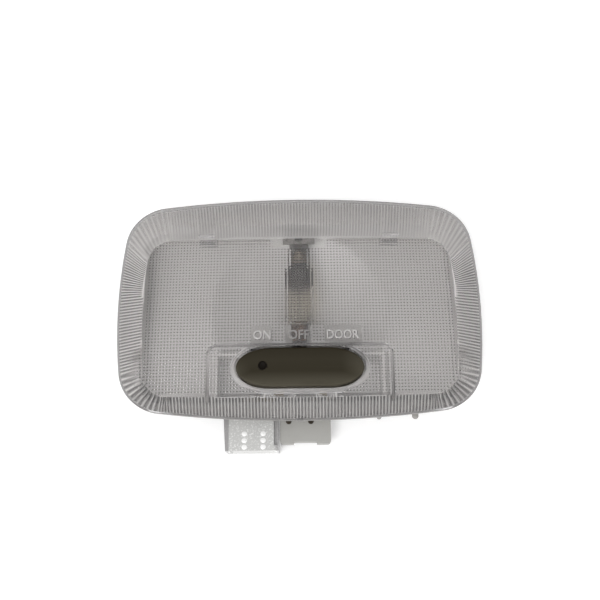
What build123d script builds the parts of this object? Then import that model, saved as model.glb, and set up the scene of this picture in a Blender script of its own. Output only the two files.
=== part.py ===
from build123d import *
import math
import os

# Car dome light: clear clip-on lens over a white reflector housing, with a festoon bulb and rocker switch
# Millimetres; +Z points out of the lens, +X to its right and +Y to its upper edge
# The origin is the centre of the lens rim's flat back, which seats on the roof trim

# Lens rim
RIM_WIDTH = 149.2
RIM_TOP = 46.7
RIM_BOTTOM = -47.9
RIM_SIDE_RADIUS = 216.0
RIM_END_RADIUS = 475.0
RIM_CORNER = 18.5
RIM_LIP = 2.5
SEAT_WIDTH = 1.2

# Lens panel, and the crowned face that it lies on
PANEL_HALF_WIDTH = 63.5
PANEL_TOP = 27.9
PANEL_BOTTOM = -39.4
CROWN_HEIGHT = 10.5
CROWN_Y = -20.0
CROWN_RADIUS_X = 1500.0
CROWN_RADIUS_Y = 450.0
CROWN_MARGIN = 15.0
CROWN_DEPTH = 40.0
LENS_WALL = 2.2

# Sloping border between rim and panel, carried on to a small outline above the crown
BORDER_RISE = 1.0
BORDER_SIDE_RADIUS = 150.0
BORDER_UPPER_RADIUS = 300.0
BORDER_LOWER_RADIUS = 900.0
BORDER_UPPER_CORNER = 10.0
BORDER_LOWER_CORNER = 7.0
SIDE_RIB_PITCH = 1.29
END_RIB_PITCH = 1.29
CORNER_RIB_PITCH = 2.4
RIB_DEPTH = 0.3

# Rocker cap
SWITCH_Y = -28.2
ROCKER_LENGTH = 50.3
ROCKER_WIDTH = 15.4
ROCKER_END = 14.0
ROCKER_TOP = 10.8
ROCKER_HEIGHT = 6.6
ROCKER_WALL = 1.5
ROCKER_EDGE = 0.7
DISH_DEPTH = 1.2
DISH_MARGIN = 1.0
DISH_SLOPE = 4.4
DIMPLE_X = -16.9
DIMPLE_Y = 0.9
DIMPLE_RADIUS = 1.75
DIMPLE_DEPTH = 0.7

# Rocker pivot and stem
PIVOT_Z = 5.0
TRUNNION_RADIUS = 1.2
PIVOT_CLEARANCE = 0.06
HUB_HALF_LENGTH = 3.2
HUB_HALF_WIDTH = 4.0
HUB_DROP = 2.0
EAR_GAP = 0.3
EAR_THICKNESS = 1.5
EAR_RADIUS = 2.4
TRUNNION_END_GAP = 0.2
STEM_RADIUS = 2.9
STEM_BOTTOM = -1.5
BORE_TOP = 2.6

# Switch window, collar and pocket wall in the lens
WINDOW_GAP = 0.8
COLLAR_WALL = 1.2
COLLAR_BOTTOM = 5.0
POCKET_HALF_WIDTH = 37.0
POCKET_TOP = -18.4
POCKET_WALL = 1.3
POCKET_CORNER = 4.0
POCKET_FOOT = 1.0
POCKET_OVERRUN = 1.5

# Plunger, spring and rocking contact
PLUNGER_RADIUS = 1.7
PLUNGER_CLEARANCE = 0.06
PLUNGER_TIP_RADIUS = 1.6
PLUNGER_HEAD_TOP = 0.1
PLUNGER_GAP = 0.15
SPRING_WIRE = 0.22
SPRING_TURNS = 4.0
SPRING_CLEARANCE = 0.15
FULCRUM_Z = -6.2
FULCRUM_RADIUS = 0.8
FULCRUM_CLEARANCE = 0.1
SEESAW_HALF_LENGTH = 10.5
SEESAW_WIDTH = 5.0
SEESAW_THICKNESS = 1.4
SEESAW_TILT = 5.0
PAD_GAP = 0.2

# Housing tub, flange and reflector bowl
FLANGE_CLEARANCE = 0.3
FLANGE_TOP = 0.4
FLANGE_THICKNESS = 1.6
HOUSING_WALL = 1.8
TUB_HALF_WIDTH = 64.5
TUB_TOP = 31.6
TUB_BOTTOM = -40.0
TUB_CORNER = 9.0
WING_FLOOR = -9.0
BOWL_Y = -2.0
BOWL_RADIUS = 37.2
BOWL_DEPTH = 9.5

# Switch box in the housing
BOX_HALF_WIDTH = 33.5
BOX_TOP_Y = -21.4
BOX_WALL = 1.5
BOX_RIM = -1.5
BOX_FLOOR = -12.5
BOX_BASE = 1.6

# Switch carrier
CARRIER_HALF_LENGTH = 18.0
CARRIER_RIM = -3.0
EAR_FOOT_HALF = 4.5

# Snap hooks between lens and housing, pry tab
HOOK_X = 38.5
HOOK_WIDTH = 7.0
HOOK_Y = 28.0
HOOK_THICKNESS = 1.5
HOOK_NOSE = 1.4
HOOK_BOTTOM = -4.6
HOOK_NOSE_HEIGHT = 2.6
LEDGE_REACH = 1.6
LEDGE_HEIGHT = 1.4
LEDGE_GAP = 0.3
PRY_WIDTH = 2.4
PRY_THICKNESS = 1.8
PRY_INSET = 0.4
PRY_BOTTOM = -6.0

# Roof hooks and locating pegs on the housing
FOOT_Z = -22.0
ROOF_HOOK_THICKNESS = 2.0
ROOF_HOOK_NOSE = 1.8
ROOF_HOOK_RAMP = 5.0
PEG_Z = -6.0
PEG_TIP_Y = -46.9
LARGE_PEG_X = 46.4
LARGE_PEG_RADIUS = 1.35
SMALL_PEG_X = 31.7
SMALL_PEG_RADIUS = 1.0

# Stamped strips
STRIP = 0.8
STRIP_CLEARANCE = 0.1
BLADE_WIDTH = 3.2
BLADE_TIP_Y = -55.5
FEED_BLADE_X = -26.0
DOOR_BLADE_X = -20.2
ON_BLADE_X = -14.4
PAD_X = 9.0
PAD_WIDTH = 4.0
RUN_WIDTH = 3.0
RUN_GAP = 0.6
DOOR_RUN_Y = -37.0

# Bulb
BULB_Y = 6.5
BULB_Z = -7.0
BULB_LENGTH = 41.0
BULB_RADIUS = 5.5
BULB_WALL = 0.7
CAP_RADIUS = 3.6
CAP_LENGTH = 4.0
CAP_CONE = 3.0
CAP_TIP_RADIUS = 1.6
BULB_SHOULDER = 3.0
FILAMENT_RADIUS = 0.4
FILAMENT_LENGTH = 14.0
LEAD_RADIUS = 0.2

# Bulb contacts and feed strap
TIP_GAP = 0.1
CONTACT_HOLE = 1.2
UPPER_CLIP_WIDTH = 13.5
UPPER_CLIP_DEPTH = 4.4
UPPER_CLIP_TOP = -0.4
CLIP_WINDOW_LENGTH = 3.4
CLIP_WINDOW_WIDTH = 1.4
CLIP_TAIL = 5.0
CLIP_TONGUE = 8.0
LOWER_CLIP_WIDTH = 6.0
LOWER_CLIP_TOP = -2.0
STRAP_WIDTH = 5.0
STRAP_GAP = 0.5
STRAP_RISE_Y = 12.0
STRAP_FALL_Y = -24.0
STRAP_TURN_Y = -37.3

# Connector shroud
SHROUD_LEFT = -31.6
SHROUD_RIGHT = -9.0
SHROUD_DRAFT = 1.0
SHROUD_FRONT = -58.5
SHROUD_TOP = -8.0
SHROUD_WALL = 1.6
SHROUD_BACK = 5.0

# Terminal block and rivets
BLOCK_LEFT = -8.5
BLOCK_RIGHT = 12.3
BLOCK_FRONT = -55.7
BLOCK_TOP = -10.0
BLOCK_BOTTOM = -16.0
BLOCK_CORNER = 1.2
BLOCK_NOTCH_LENGTH = 9.5
BLOCK_NOTCH_DEPTH = 0.8
RIVET_LEFT_X = -4.9
RIVET_RIGHT_X = 4.2
RIVET_Y = -46.7
RIVET_HEAD = 1.15
RIVET_SHANK = 0.7
RIVET_HEAD_HEIGHT = 0.6
RIVET_CLEARANCE = 0.05

# Values that follow from the driving dimensions
BORDER_TOP = CROWN_HEIGHT + BORDER_RISE
ROCKER_BOTTOM = ROCKER_TOP - ROCKER_HEIGHT
CAP_UNDERSIDE = ROCKER_TOP - DISH_DEPTH - ROCKER_WALL
EAR_INNER = HUB_HALF_WIDTH + EAR_GAP
EAR_OUTER = EAR_INNER + EAR_THICKNESS
BORE_RADIUS = PLUNGER_RADIUS + PLUNGER_CLEARANCE
SEESAW_TOP = FULCRUM_Z + SEESAW_THICKNESS
PLUNGER_TIP = SEESAW_TOP + PLUNGER_GAP
PAD_TOP = FULCRUM_Z - SEESAW_HALF_LENGTH * math.sin(math.radians(SEESAW_TILT)) - PAD_GAP
TUB_FRONT = TUB_BOTTOM - HOUSING_WALL
BOX_UNDERSIDE = BOX_FLOOR - BOX_BASE
STRIP_TOP = BOX_FLOOR + STRIP
UPPER_TIP_Y = BULB_Y + BULB_LENGTH / 2
LOWER_TIP_Y = BULB_Y - BULB_LENGTH / 2
CAP_TOTAL = CAP_LENGTH + CAP_CONE
ON_RUN_Y = TUB_FRONT - RUN_GAP - RUN_WIDTH / 2
ON_PLATE_FRONT = RIVET_Y - RIVET_HEAD - RUN_GAP


def block(x, y, z):
    """Box between three pairs of limits."""
    size = Box(x[1] - x[0], y[1] - y[0], z[1] - z[0], align=(Align.MIN, Align.MIN, Align.MIN))
    return Pos(x[0], y[0], z[0]) * size


def prism(outline, bottom, top):
    """Straight solid over a flat outline, between two heights."""
    return Pos(0, 0, bottom) * extrude(outline, amount=top - bottom)


def cross_section(points, left, right):
    """Solid of a closed side profile, given as (y, z) points, between two x limits."""
    profile = Plane.YZ * make_face(Polyline(*points, close=True))
    return Pos(left, 0, 0) * extrude(profile, amount=right - left)


def bent_strip(points, left, right):
    """Sheet strip bent along (y, z) centre-line points, between two x limits."""
    profile = Plane.YZ * trace(Polyline(*points), STRIP)
    return Pos(left, 0, 0) * extrude(profile, amount=right - left)


def barrel(radius, start, end, x, z):
    """Round bar along Y between two y limits."""
    bar = Cylinder(radius, end - start)
    return Pos(x, (start + end) / 2, z) * Rot(90, 0, 0) * bar


def oval(half_length, half_width):
    """Switch outline: straight middle with elliptical ends, centred on the switch."""
    straight = half_length - ROCKER_END
    right = EllipticalCenterArc((straight, 0), ROCKER_END, half_width, start_angle=-90, arc_size=180)
    left = EllipticalCenterArc((-straight, 0), ROCKER_END, half_width, start_angle=90, arc_size=180)
    upper = Line((straight, half_width), (-straight, half_width))
    lower = Line((-straight, -half_width), (straight, -half_width))
    return Pos(0, SWITCH_Y, 0) * make_face(Curve() + [right, upper, left, lower])


def switch_oval(growth):
    """Rocker outline grown by a distance on every side."""
    return oval(ROCKER_LENGTH / 2 + growth, ROCKER_WIDTH / 2 + growth)


def right_crossing(first, first_radius, second, second_radius):
    """Right-hand crossing of two circles, each given by its centre and radius."""
    span = second - first
    along = (first_radius**2 - second_radius**2 + span.length**2) / (2 * span.length)
    across = math.sqrt(first_radius**2 - along**2)
    unit = span / span.length
    sideways = Vector(-unit.Y, unit.X) * across
    return max((first + unit * along + way for way in (sideways, -sideways)), key=lambda point: point.X)


def bowed_outline(half_width, top, bottom, side_radius, end_radii, corners):
    """Rounded rectangle with four bowed sides; the end radii and corners are given as upper, then lower."""
    middle = (top + bottom) / 2
    side_centre = Vector(half_width - side_radius, middle)
    high = right_crossing(Vector(0, top - end_radii[0]), end_radii[0], side_centre, side_radius)
    low = right_crossing(Vector(0, bottom + end_radii[1]), end_radii[1], side_centre, side_radius)
    sides = [
        ThreePointArc((-high.X, high.Y), (0, top), (high.X, high.Y)),
        ThreePointArc((high.X, high.Y), (half_width, middle), (low.X, low.Y)),
        ThreePointArc((low.X, low.Y), (0, bottom), (-low.X, low.Y)),
        ThreePointArc((-low.X, low.Y), (-half_width, middle), (-high.X, high.Y)),
    ]
    sharp = make_face(Curve() + sides)
    upper_round = fillet(sharp.vertices().sort_by(Axis.Y)[2:], corners[0])
    return fillet(upper_round.vertices().sort_by(Axis.Y)[:2], corners[1])


def rim_outline(inset):
    """Outline of the lens rim, moved inwards by a distance."""
    end_radius = RIM_END_RADIUS - inset
    corner = RIM_CORNER - inset
    return bowed_outline(
        RIM_WIDTH / 2 - inset,
        RIM_TOP - inset,
        RIM_BOTTOM + inset,
        RIM_SIDE_RADIUS - inset,
        (end_radius, end_radius),
        (corner, corner),
    )


def crown_at(x, y):
    """Height of the lens's crowned face over a point."""
    section = CROWN_RADIUS_Y - CROWN_RADIUS_X + math.sqrt(CROWN_RADIUS_X**2 - x**2)
    return CROWN_HEIGHT - CROWN_RADIUS_Y + math.sqrt(section**2 - (y - CROWN_Y) ** 2)


def past_crease(rim, crease, crease_height):
    """Where the border's slope, from the rim through the panel's edge, meets the outline above the crown."""
    return rim + (crease - rim) * (BORDER_TOP - RIM_LIP) / (crease_height - RIM_LIP)


def border_top_outline():
    """Small outline above the crown that the border slopes towards."""
    panel_middle = (PANEL_TOP + PANEL_BOTTOM) / 2
    half_width = past_crease(RIM_WIDTH / 2, PANEL_HALF_WIDTH, crown_at(PANEL_HALF_WIDTH, panel_middle))
    top = past_crease(RIM_TOP, PANEL_TOP, crown_at(0, PANEL_TOP))
    bottom = past_crease(RIM_BOTTOM, PANEL_BOTTOM, crown_at(0, PANEL_BOTTOM))
    return bowed_outline(
        half_width,
        top,
        bottom,
        BORDER_SIDE_RADIUS,
        (BORDER_UPPER_RADIUS, BORDER_LOWER_RADIUS),
        (BORDER_UPPER_CORNER, BORDER_LOWER_CORNER),
    )


def crown_body(lowered):
    """Thick curved slab under the lens's crowned face, lowered by a distance."""
    peak = CROWN_HEIGHT - lowered
    reach = RIM_WIDTH / 2 + CROWN_MARGIN
    edge = peak - CROWN_RADIUS_X + math.sqrt(CROWN_RADIUS_X**2 - reach**2)
    floor = peak - CROWN_DEPTH
    top = ThreePointArc((-reach, edge), (0, peak), (reach, edge))
    rest = Polyline((reach, edge), (reach, floor), (-reach, floor), (-reach, edge))
    profile = Pos(0, CROWN_Y, 0) * (Plane.XZ * make_face(Curve() + [top, rest]))
    axis = Axis((0, CROWN_Y, peak - CROWN_RADIUS_Y), (1, 0, 0))
    swing = math.degrees(math.asin((RIM_TOP - RIM_BOTTOM + CROWN_MARGIN) / CROWN_RADIUS_Y))
    return revolve(profile.rotate(axis, -swing), axis=axis, revolution_arc=2 * swing)


def outline_runs(outline):
    """Sides and corners of a bowed outline, anticlockwise from the right side, each with its direction."""
    centre = outline.bounding_box().center()

    def bearing(point):
        return math.atan2(point.Y - centre.Y, point.X - centre.X)

    def turn(edge):
        return (bearing(edge @ 0.5) + math.pi / 8) % (2 * math.pi)

    runs = []
    for edge in sorted(outline.edges(), key=turn):
        step = math.sin(bearing(edge @ 0.6) - bearing(edge @ 0.4))
        runs.append((edge, step > 0))
    return runs


def rib_counts():
    """Number of ribs on each side and corner of the rim."""
    pitches = [SIDE_RIB_PITCH, CORNER_RIB_PITCH, END_RIB_PITCH, CORNER_RIB_PITCH] * 2
    runs = outline_runs(rim_outline(0))
    return [max(2, round(edge.length / pitch)) for (edge, _), pitch in zip(runs, pitches)]


def rib_loops():
    """Zigzag outlines of the rib grooves at the rim and above the crown, with each rib square to the upper one."""
    upper = border_top_outline()
    low = []
    high = []
    for (edge, forward), count in zip(outline_runs(rim_outline(0)), rib_counts()):
        for half_step in range(2 * count):
            share = half_step / (2 * count)
            foot = edge @ (share if forward else 1 - share)
            head = upper.distance_to_with_closest_points(Vertex(foot))[1]
            groove = (foot - head).normalized() * (RIB_DEPTH if half_step % 2 else 0)
            low.append(foot + groove)
            high.append(head + groove)
    return make_face(Polyline(*low, close=True)), make_face(Polyline(*high, close=True))


def lens_outer():
    """Lens with no hollow: rim, sloping border and crowned panel."""
    rim = rim_outline(0)
    border = loft([Pos(0, 0, RIM_LIP) * rim, Pos(0, 0, BORDER_TOP) * border_top_outline()], ruled=True)
    return prism(rim, 0, RIM_LIP) + (border & crown_body(0))


def ribbed_space():
    """Space under the sloping border, with the rib grooves cut up into the wall."""
    low, high = rib_loops()
    return loft([Pos(0, 0, RIM_LIP - LENS_WALL) * low, Pos(0, 0, BORDER_TOP - LENS_WALL) * high], ruled=True)


def pocket_wall():
    """U-shaped wall round the switch, open towards the lower edge."""
    foot = PANEL_BOTTOM - POCKET_OVERRUN
    inner_half = POCKET_HALF_WIDTH - POCKET_WALL
    outer = Pos(0, (POCKET_TOP + foot) / 2) * Rectangle(2 * POCKET_HALF_WIDTH, POCKET_TOP - foot)
    outer = fillet(outer.vertices().sort_by(Axis.Y)[2:], POCKET_CORNER)
    inner = Pos(0, (POCKET_TOP + foot) / 2 - POCKET_WALL) * Rectangle(2 * inner_half, POCKET_TOP - foot)
    inner = fillet(inner.vertices().sort_by(Axis.Y)[2:], POCKET_CORNER - POCKET_WALL)
    return prism(outer - inner, POCKET_FOOT, CROWN_HEIGHT)


def lens_hook(x):
    """Snap hook that drops from the panel's upper edge and catches under a ledge in the housing."""
    back = HOOK_Y + HOOK_THICKNESS
    nose_top = HOOK_BOTTOM + HOOK_NOSE_HEIGHT
    top = crown_at(HOOK_X, HOOK_Y) - LENS_WALL / 2
    profile = [
        (HOOK_Y, top),
        (HOOK_Y, HOOK_BOTTOM),
        (back, HOOK_BOTTOM),
        (back + HOOK_NOSE, nose_top),
        (back, nose_top),
        (back, top),
    ]
    return cross_section(profile, x - HOOK_WIDTH / 2, x + HOOK_WIDTH / 2)


def pry_tab(growth):
    """Tab under the lower rim for prying the lens off, grown by a distance at its sides."""
    half = PRY_WIDTH / 2 + growth
    front = RIM_BOTTOM + PRY_INSET
    return block((-half, half), (front - growth, front + PRY_THICKNESS + growth), (PRY_BOTTOM, RIM_LIP))


def lens():
    """Clear cover: ribbed border, crowned panel, switch window with collar, pocket wall, hooks and tab."""
    outer = lens_outer()
    seat_edge = rim_outline(SEAT_WIDTH)
    collar = prism(switch_oval(WINDOW_GAP + COLLAR_WALL), COLLAR_BOTTOM, CROWN_HEIGHT)
    inner_walls = (collar + pocket_wall()) & outer
    hooks = lens_hook(-HOOK_X) + lens_hook(HOOK_X)
    mouth = prism(seat_edge, 0, RIM_LIP - LENS_WALL) - hooks
    solid = outer - mouth + hooks + pry_tab(0) - prism(switch_oval(WINDOW_GAP), 0, BORDER_TOP)
    under_crown = crown_body(LENS_WALL) & prism(seat_edge, RIM_LIP - LENS_WALL, BORDER_TOP)
    return solid - (ribbed_space() & (under_crown - inner_walls - hooks))


def rocker():
    """Switch cap with a dished top, dimple, hollow underside, trunnions and a bored stem."""
    cap = prism(switch_oval(0), ROCKER_BOTTOM, ROCKER_TOP)
    cap = fillet(cap.faces().sort_by(Axis.Z)[-1].edges(), ROCKER_EDGE)
    dish_top = Pos(0, 0, ROCKER_TOP) * switch_oval(-DISH_MARGIN)
    dish_floor = Pos(0, 0, ROCKER_TOP - DISH_DEPTH) * switch_oval(-DISH_MARGIN - DISH_SLOPE)
    dish = loft([dish_floor, dish_top], ruled=True)
    dimple_mouth = Pos(DIMPLE_X, SWITCH_Y + DIMPLE_Y, ROCKER_TOP - DISH_DEPTH)
    dimple = dimple_mouth * Cylinder(DIMPLE_RADIUS, 2 * DIMPLE_DEPTH)
    hollow = prism(switch_oval(-ROCKER_WALL), ROCKER_BOTTOM, CAP_UNDERSIDE)
    hub = block(
        (-HUB_HALF_LENGTH, HUB_HALF_LENGTH),
        (SWITCH_Y - HUB_HALF_WIDTH, SWITCH_Y + HUB_HALF_WIDTH),
        (PIVOT_Z - HUB_DROP, CAP_UNDERSIDE),
    )
    trunnion_end = ROCKER_WIDTH / 2 - ROCKER_WALL - TRUNNION_END_GAP
    trunnions = barrel(TRUNNION_RADIUS, SWITCH_Y - trunnion_end, SWITCH_Y + trunnion_end, 0, PIVOT_Z)
    axis = Pos(0, SWITCH_Y, 0)
    stem = axis * prism(Circle(STEM_RADIUS), STEM_BOTTOM, PIVOT_Z)
    bore = axis * prism(Circle(BORE_RADIUS), STEM_BOTTOM, BORE_TOP)
    return cap - dish - dimple - hollow + hub + trunnions + stem - bore


def contact_plunger():
    """Round-nosed pin that slides in the rocker's stem."""
    nose = PLUNGER_TIP + PLUNGER_TIP_RADIUS
    shank = prism(Circle(PLUNGER_TIP_RADIUS), nose, STEM_BOTTOM)
    head = prism(Circle(PLUNGER_RADIUS), STEM_BOTTOM, PLUNGER_HEAD_TOP)
    ball = Pos(0, 0, nose) * Sphere(PLUNGER_TIP_RADIUS)
    return Pos(0, SWITCH_Y, 0) * (head + shank + ball)


def plunger_spring():
    """Coil spring between the plunger's head and the end of the bore."""
    radius = BORE_RADIUS - SPRING_CLEARANCE - SPRING_WIRE
    low = PLUNGER_HEAD_TOP + SPRING_WIRE
    height = BORE_TOP - SPRING_WIRE - low
    coil = Helix(pitch=height / SPRING_TURNS, height=height, radius=radius, center=(0, 0, low))
    wire = Plane(origin=coil @ 0, z_dir=coil % 0) * RegularPolygon(SPRING_WIRE, 6)
    return Pos(0, SWITCH_Y, 0) * sweep(wire, path=coil, is_frenet=True)


def rocking_contact():
    """See-saw bar that tips on the fulcrum of the lower bulb contact."""
    y = (SWITCH_Y - SEESAW_WIDTH / 2, SWITCH_Y + SEESAW_WIDTH / 2)
    bar = block((-SEESAW_HALF_LENGTH, SEESAW_HALF_LENGTH), y, (FULCRUM_Z, SEESAW_TOP))
    return bar - barrel(FULCRUM_RADIUS + FULCRUM_CLEARANCE, *y, 0, FULCRUM_Z)


def floor_strip(x, y):
    """Flat stretch of strip on the switch box floor."""
    return block(x, y, (BOX_FLOOR, STRIP_TOP))


def contact_pad(side):
    """Folded contact pad under one end of the see-saw; side is 1 at the right and -1 at the left."""
    inner = side * (PAD_X - PAD_WIDTH / 2)
    outer = side * (PAD_X + PAD_WIDTH / 2)
    fold = outer - side * STRIP
    y = (SWITCH_Y - PAD_WIDTH / 2, SWITCH_Y + PAD_WIDTH / 2)
    top = block(sorted((inner, outer)), y, (PAD_TOP - STRIP, PAD_TOP))
    upstand = block(sorted((fold, outer)), y, (BOX_FLOOR, PAD_TOP))
    return top + upstand + floor_strip(sorted((inner, outer)), y)


def blade(x, root_y):
    """Connector blade from a root to the common tip line."""
    return floor_strip((x - BLADE_WIDTH / 2, x + BLADE_WIDTH / 2), (BLADE_TIP_Y, root_y))


def on_terminal():
    """Strip from the ON pad, riveted under the terminal block, to its connector blade."""
    left = PAD_X - PAD_WIDTH / 2
    right = PAD_X + PAD_WIDTH / 2
    run_back = ON_RUN_Y + RUN_WIDTH / 2
    lead = floor_strip((left, right), (run_back, SWITCH_Y))
    plate = floor_strip((BLOCK_LEFT + RUN_GAP, right), (ON_PLATE_FRONT, run_back))
    run = floor_strip((ON_BLADE_X - BLADE_WIDTH / 2, right), (run_back - RUN_WIDTH, run_back))
    return contact_pad(1) + lead + plate + run + blade(ON_BLADE_X, run_back) - rivet_holes()


def door_terminal():
    """Strip from the DOOR pad to its connector blade."""
    left = -PAD_X - PAD_WIDTH / 2
    right = -PAD_X + PAD_WIDTH / 2
    run_y = (DOOR_RUN_Y - RUN_WIDTH / 2, DOOR_RUN_Y + RUN_WIDTH / 2)
    lead = floor_strip((left, right), (run_y[0], SWITCH_Y))
    run = floor_strip((DOOR_BLADE_X - BLADE_WIDTH / 2, right), run_y)
    return contact_pad(-1) + lead + run + blade(DOOR_BLADE_X, run_y[1])


def lower_bulb_contact():
    """Strip with the lower bulb clip at one end and the see-saw's fulcrum at the other."""
    half = LOWER_CLIP_WIDTH / 2
    plate_y = LOWER_TIP_Y - TIP_GAP - STRIP / 2
    level = BOX_FLOOR + STRIP / 2
    fulcrum_end = SWITCH_Y - PAD_WIDTH / 2
    clip = bent_strip([(plate_y, LOWER_CLIP_TOP), (plate_y, level), (fulcrum_end, level)], -half, half)
    hole = barrel(CONTACT_HOLE, plate_y - STRIP, plate_y + STRIP, 0, BULB_Z)
    fulcrum_y = (fulcrum_end, SWITCH_Y + PAD_WIDTH / 2)
    post = block((-FULCRUM_RADIUS, FULCRUM_RADIUS), fulcrum_y, (BOX_FLOOR, FULCRUM_Z))
    edge = barrel(FULCRUM_RADIUS, *fulcrum_y, 0, FULCRUM_Z)
    return clip - hole + post + edge


def bowl_back(y):
    """Height of the bowl's outside over the middle line."""
    sphere = ((BOWL_RADIUS + HOUSING_WALL) ** 2 + BOWL_DEPTH**2) / (2 * BOWL_DEPTH)
    bottom = WING_FLOOR - HOUSING_WALL - BOWL_DEPTH
    return bottom + sphere - math.sqrt(sphere**2 - (y - BOWL_Y) ** 2)


def feed_strap():
    """Strap with the upper bulb clip, led over the back of the bowl to the feed blade."""
    near = UPPER_TIP_Y + TIP_GAP + STRIP / 2
    far = near + UPPER_CLIP_DEPTH - STRIP
    clip_top = UPPER_CLIP_TOP - STRIP / 2
    clip_half = UPPER_CLIP_WIDTH / 2
    half = STRAP_WIDTH / 2
    below = STRAP_GAP + STRIP / 2
    run_level = BOX_UNDERSIDE - STRIP / 2
    tongue_half = CLIP_TONGUE / 2
    tongue = bent_strip([(near, BULB_Z - CLIP_TAIL), (near, clip_top)], -tongue_half, tongue_half)
    clip_points = [(near - STRIP / 2, clip_top), (far, clip_top), (far, BULB_Z)]
    clip = bent_strip(clip_points, -clip_half, clip_half) + tongue
    hole = barrel(CONTACT_HOLE, near - STRIP, near + STRIP, 0, BULB_Z)
    window = block(
        (-CLIP_WINDOW_LENGTH / 2, CLIP_WINDOW_LENGTH / 2),
        ((near + far - CLIP_WINDOW_WIDTH) / 2, (near + far + CLIP_WINDOW_WIDTH) / 2),
        (clip_top - STRIP, clip_top + STRIP),
    )
    back_points = [
        (far, BULB_Z),
        (far, bowl_back(far) - below),
        ((far + STRAP_RISE_Y) / 2, bowl_back((far + STRAP_RISE_Y) / 2) - below),
        (STRAP_RISE_Y, bowl_back(BOWL_Y) - below),
        (STRAP_FALL_Y, bowl_back(BOWL_Y) - below),
        (STRAP_TURN_Y + RUN_WIDTH, run_level),
        (STRAP_TURN_Y - RUN_WIDTH / 2, run_level),
    ]
    back = bent_strip(back_points, -half, half)
    feed_left = FEED_BLADE_X - BLADE_WIDTH / 2
    run_y = (STRAP_TURN_Y - RUN_WIDTH / 2, STRAP_TURN_Y + RUN_WIDTH / 2)
    run = block((feed_left, half), run_y, (run_level - STRIP / 2, run_level + STRIP / 2))
    riser_y = (run_y[0], run_y[0] + STRIP)
    riser = block((feed_left, feed_left + BLADE_WIDTH), riser_y, (run_level, STRIP_TOP))
    return clip - hole - window + back + run + riser + blade(FEED_BLADE_X, riser_y[1])


def slot(x, y, z):
    """Cutter for a strip's passage, with the strip's clearance at the sides and over the top."""
    return block(
        (x[0] - STRIP_CLEARANCE, x[1] + STRIP_CLEARANCE),
        (y[0] - STRIP_CLEARANCE, y[1] + STRIP_CLEARANCE),
        (z[0], z[1] + STRIP_CLEARANCE),
    )


def switch_carrier():
    """Frame on the switch box floor, with two ears that carry the rocker's trunnions."""
    inner_half = CARRIER_HALF_LENGTH - EAR_THICKNESS
    frame = block(
        (-CARRIER_HALF_LENGTH, CARRIER_HALF_LENGTH),
        (SWITCH_Y - EAR_OUTER, SWITCH_Y + EAR_OUTER),
        (BOX_FLOOR, CARRIER_RIM),
    )
    well = block(
        (-inner_half, inner_half),
        (SWITCH_Y - EAR_INNER, SWITCH_Y + EAR_INNER),
        (BOX_FLOOR, CARRIER_RIM),
    )
    foot = Polyline(
        (-EAR_FOOT_HALF, CARRIER_RIM),
        (EAR_FOOT_HALF, CARRIER_RIM),
        (EAR_RADIUS, PIVOT_Z),
        (-EAR_RADIUS, PIVOT_Z),
        close=True,
    )
    ear_face = make_face(foot) + Pos(0, PIVOT_Z) * Circle(EAR_RADIUS)
    ear_face = ear_face - Pos(0, PIVOT_Z) * Circle(TRUNNION_RADIUS + PIVOT_CLEARANCE)
    ear = extrude(Plane.XZ * ear_face, amount=-EAR_THICKNESS)
    ears = Pos(0, SWITCH_Y + EAR_INNER, 0) * ear + Pos(0, SWITCH_Y - EAR_OUTER, 0) * ear
    reach = (SWITCH_Y - EAR_OUTER, SWITCH_Y + EAR_OUTER)
    strip_z = (BOX_FLOOR, STRIP_TOP)
    lower_half = LOWER_CLIP_WIDTH / 2
    notches = slot((-lower_half, lower_half), (SWITCH_Y, reach[1]), strip_z)
    for side in (-1, 1):
        x = sorted((side * (PAD_X - PAD_WIDTH / 2), side * (PAD_X + PAD_WIDTH / 2)))
        notches += slot(x, (reach[0], SWITCH_Y), strip_z)
    return frame - well + ears - notches


def tub_outline(growth):
    """Outline of the tub joined with the round bowl, grown by a distance."""
    half_width = TUB_HALF_WIDTH + growth
    top = TUB_TOP + growth
    bottom = TUB_BOTTOM - growth
    tub = RectangleRounded(2 * half_width, top - bottom, TUB_CORNER + growth)
    return Pos(0, (top + bottom) / 2) * tub + Pos(0, BOWL_Y) * Circle(BOWL_RADIUS + growth)


def bowl(growth):
    """Bowl-shaped solid below the wing floor, grown by a distance."""
    radius = BOWL_RADIUS + growth
    floor = WING_FLOOR - growth
    bottom = floor - BOWL_DEPTH
    curve = ThreePointArc((-radius, floor), (0, bottom), (radius, floor))
    whole = make_face(Curve() + [curve, Line((radius, floor), (-radius, floor))])
    half = split(whole, bisect_by=Plane.YZ)
    return Pos(0, BOWL_Y, 0) * revolve(Plane.XZ * half, axis=Axis.Z)


def roof_hook(x):
    """Hook behind the upper edge that catches the roof panel; its tip is also a foot."""
    wall = TUB_TOP + HOUSING_WALL
    back = wall + ROOF_HOOK_THICKNESS
    profile = [
        (TUB_TOP + HOUSING_WALL / 2, FLANGE_TOP - FLANGE_THICKNESS / 2),
        (TUB_TOP + HOUSING_WALL / 2, WING_FLOOR),
        (wall, FOOT_Z),
        (back, FOOT_Z),
        (back + ROOF_HOOK_NOSE, FOOT_Z + ROOF_HOOK_RAMP),
        (back, FOOT_Z + ROOF_HOOK_RAMP),
        (back, FLANGE_TOP - FLANGE_THICKNESS / 2),
    ]
    return cross_section(profile, x - HOOK_WIDTH / 2, x + HOOK_WIDTH / 2)


def peg(x, radius):
    """Round-ended locating peg that points to the lower edge."""
    tip = PEG_TIP_Y + radius
    root = TUB_BOTTOM - HOUSING_WALL / 2
    return barrel(radius, tip, root, x, PEG_Z) + Pos(x, tip, PEG_Z) * Sphere(radius)


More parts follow.
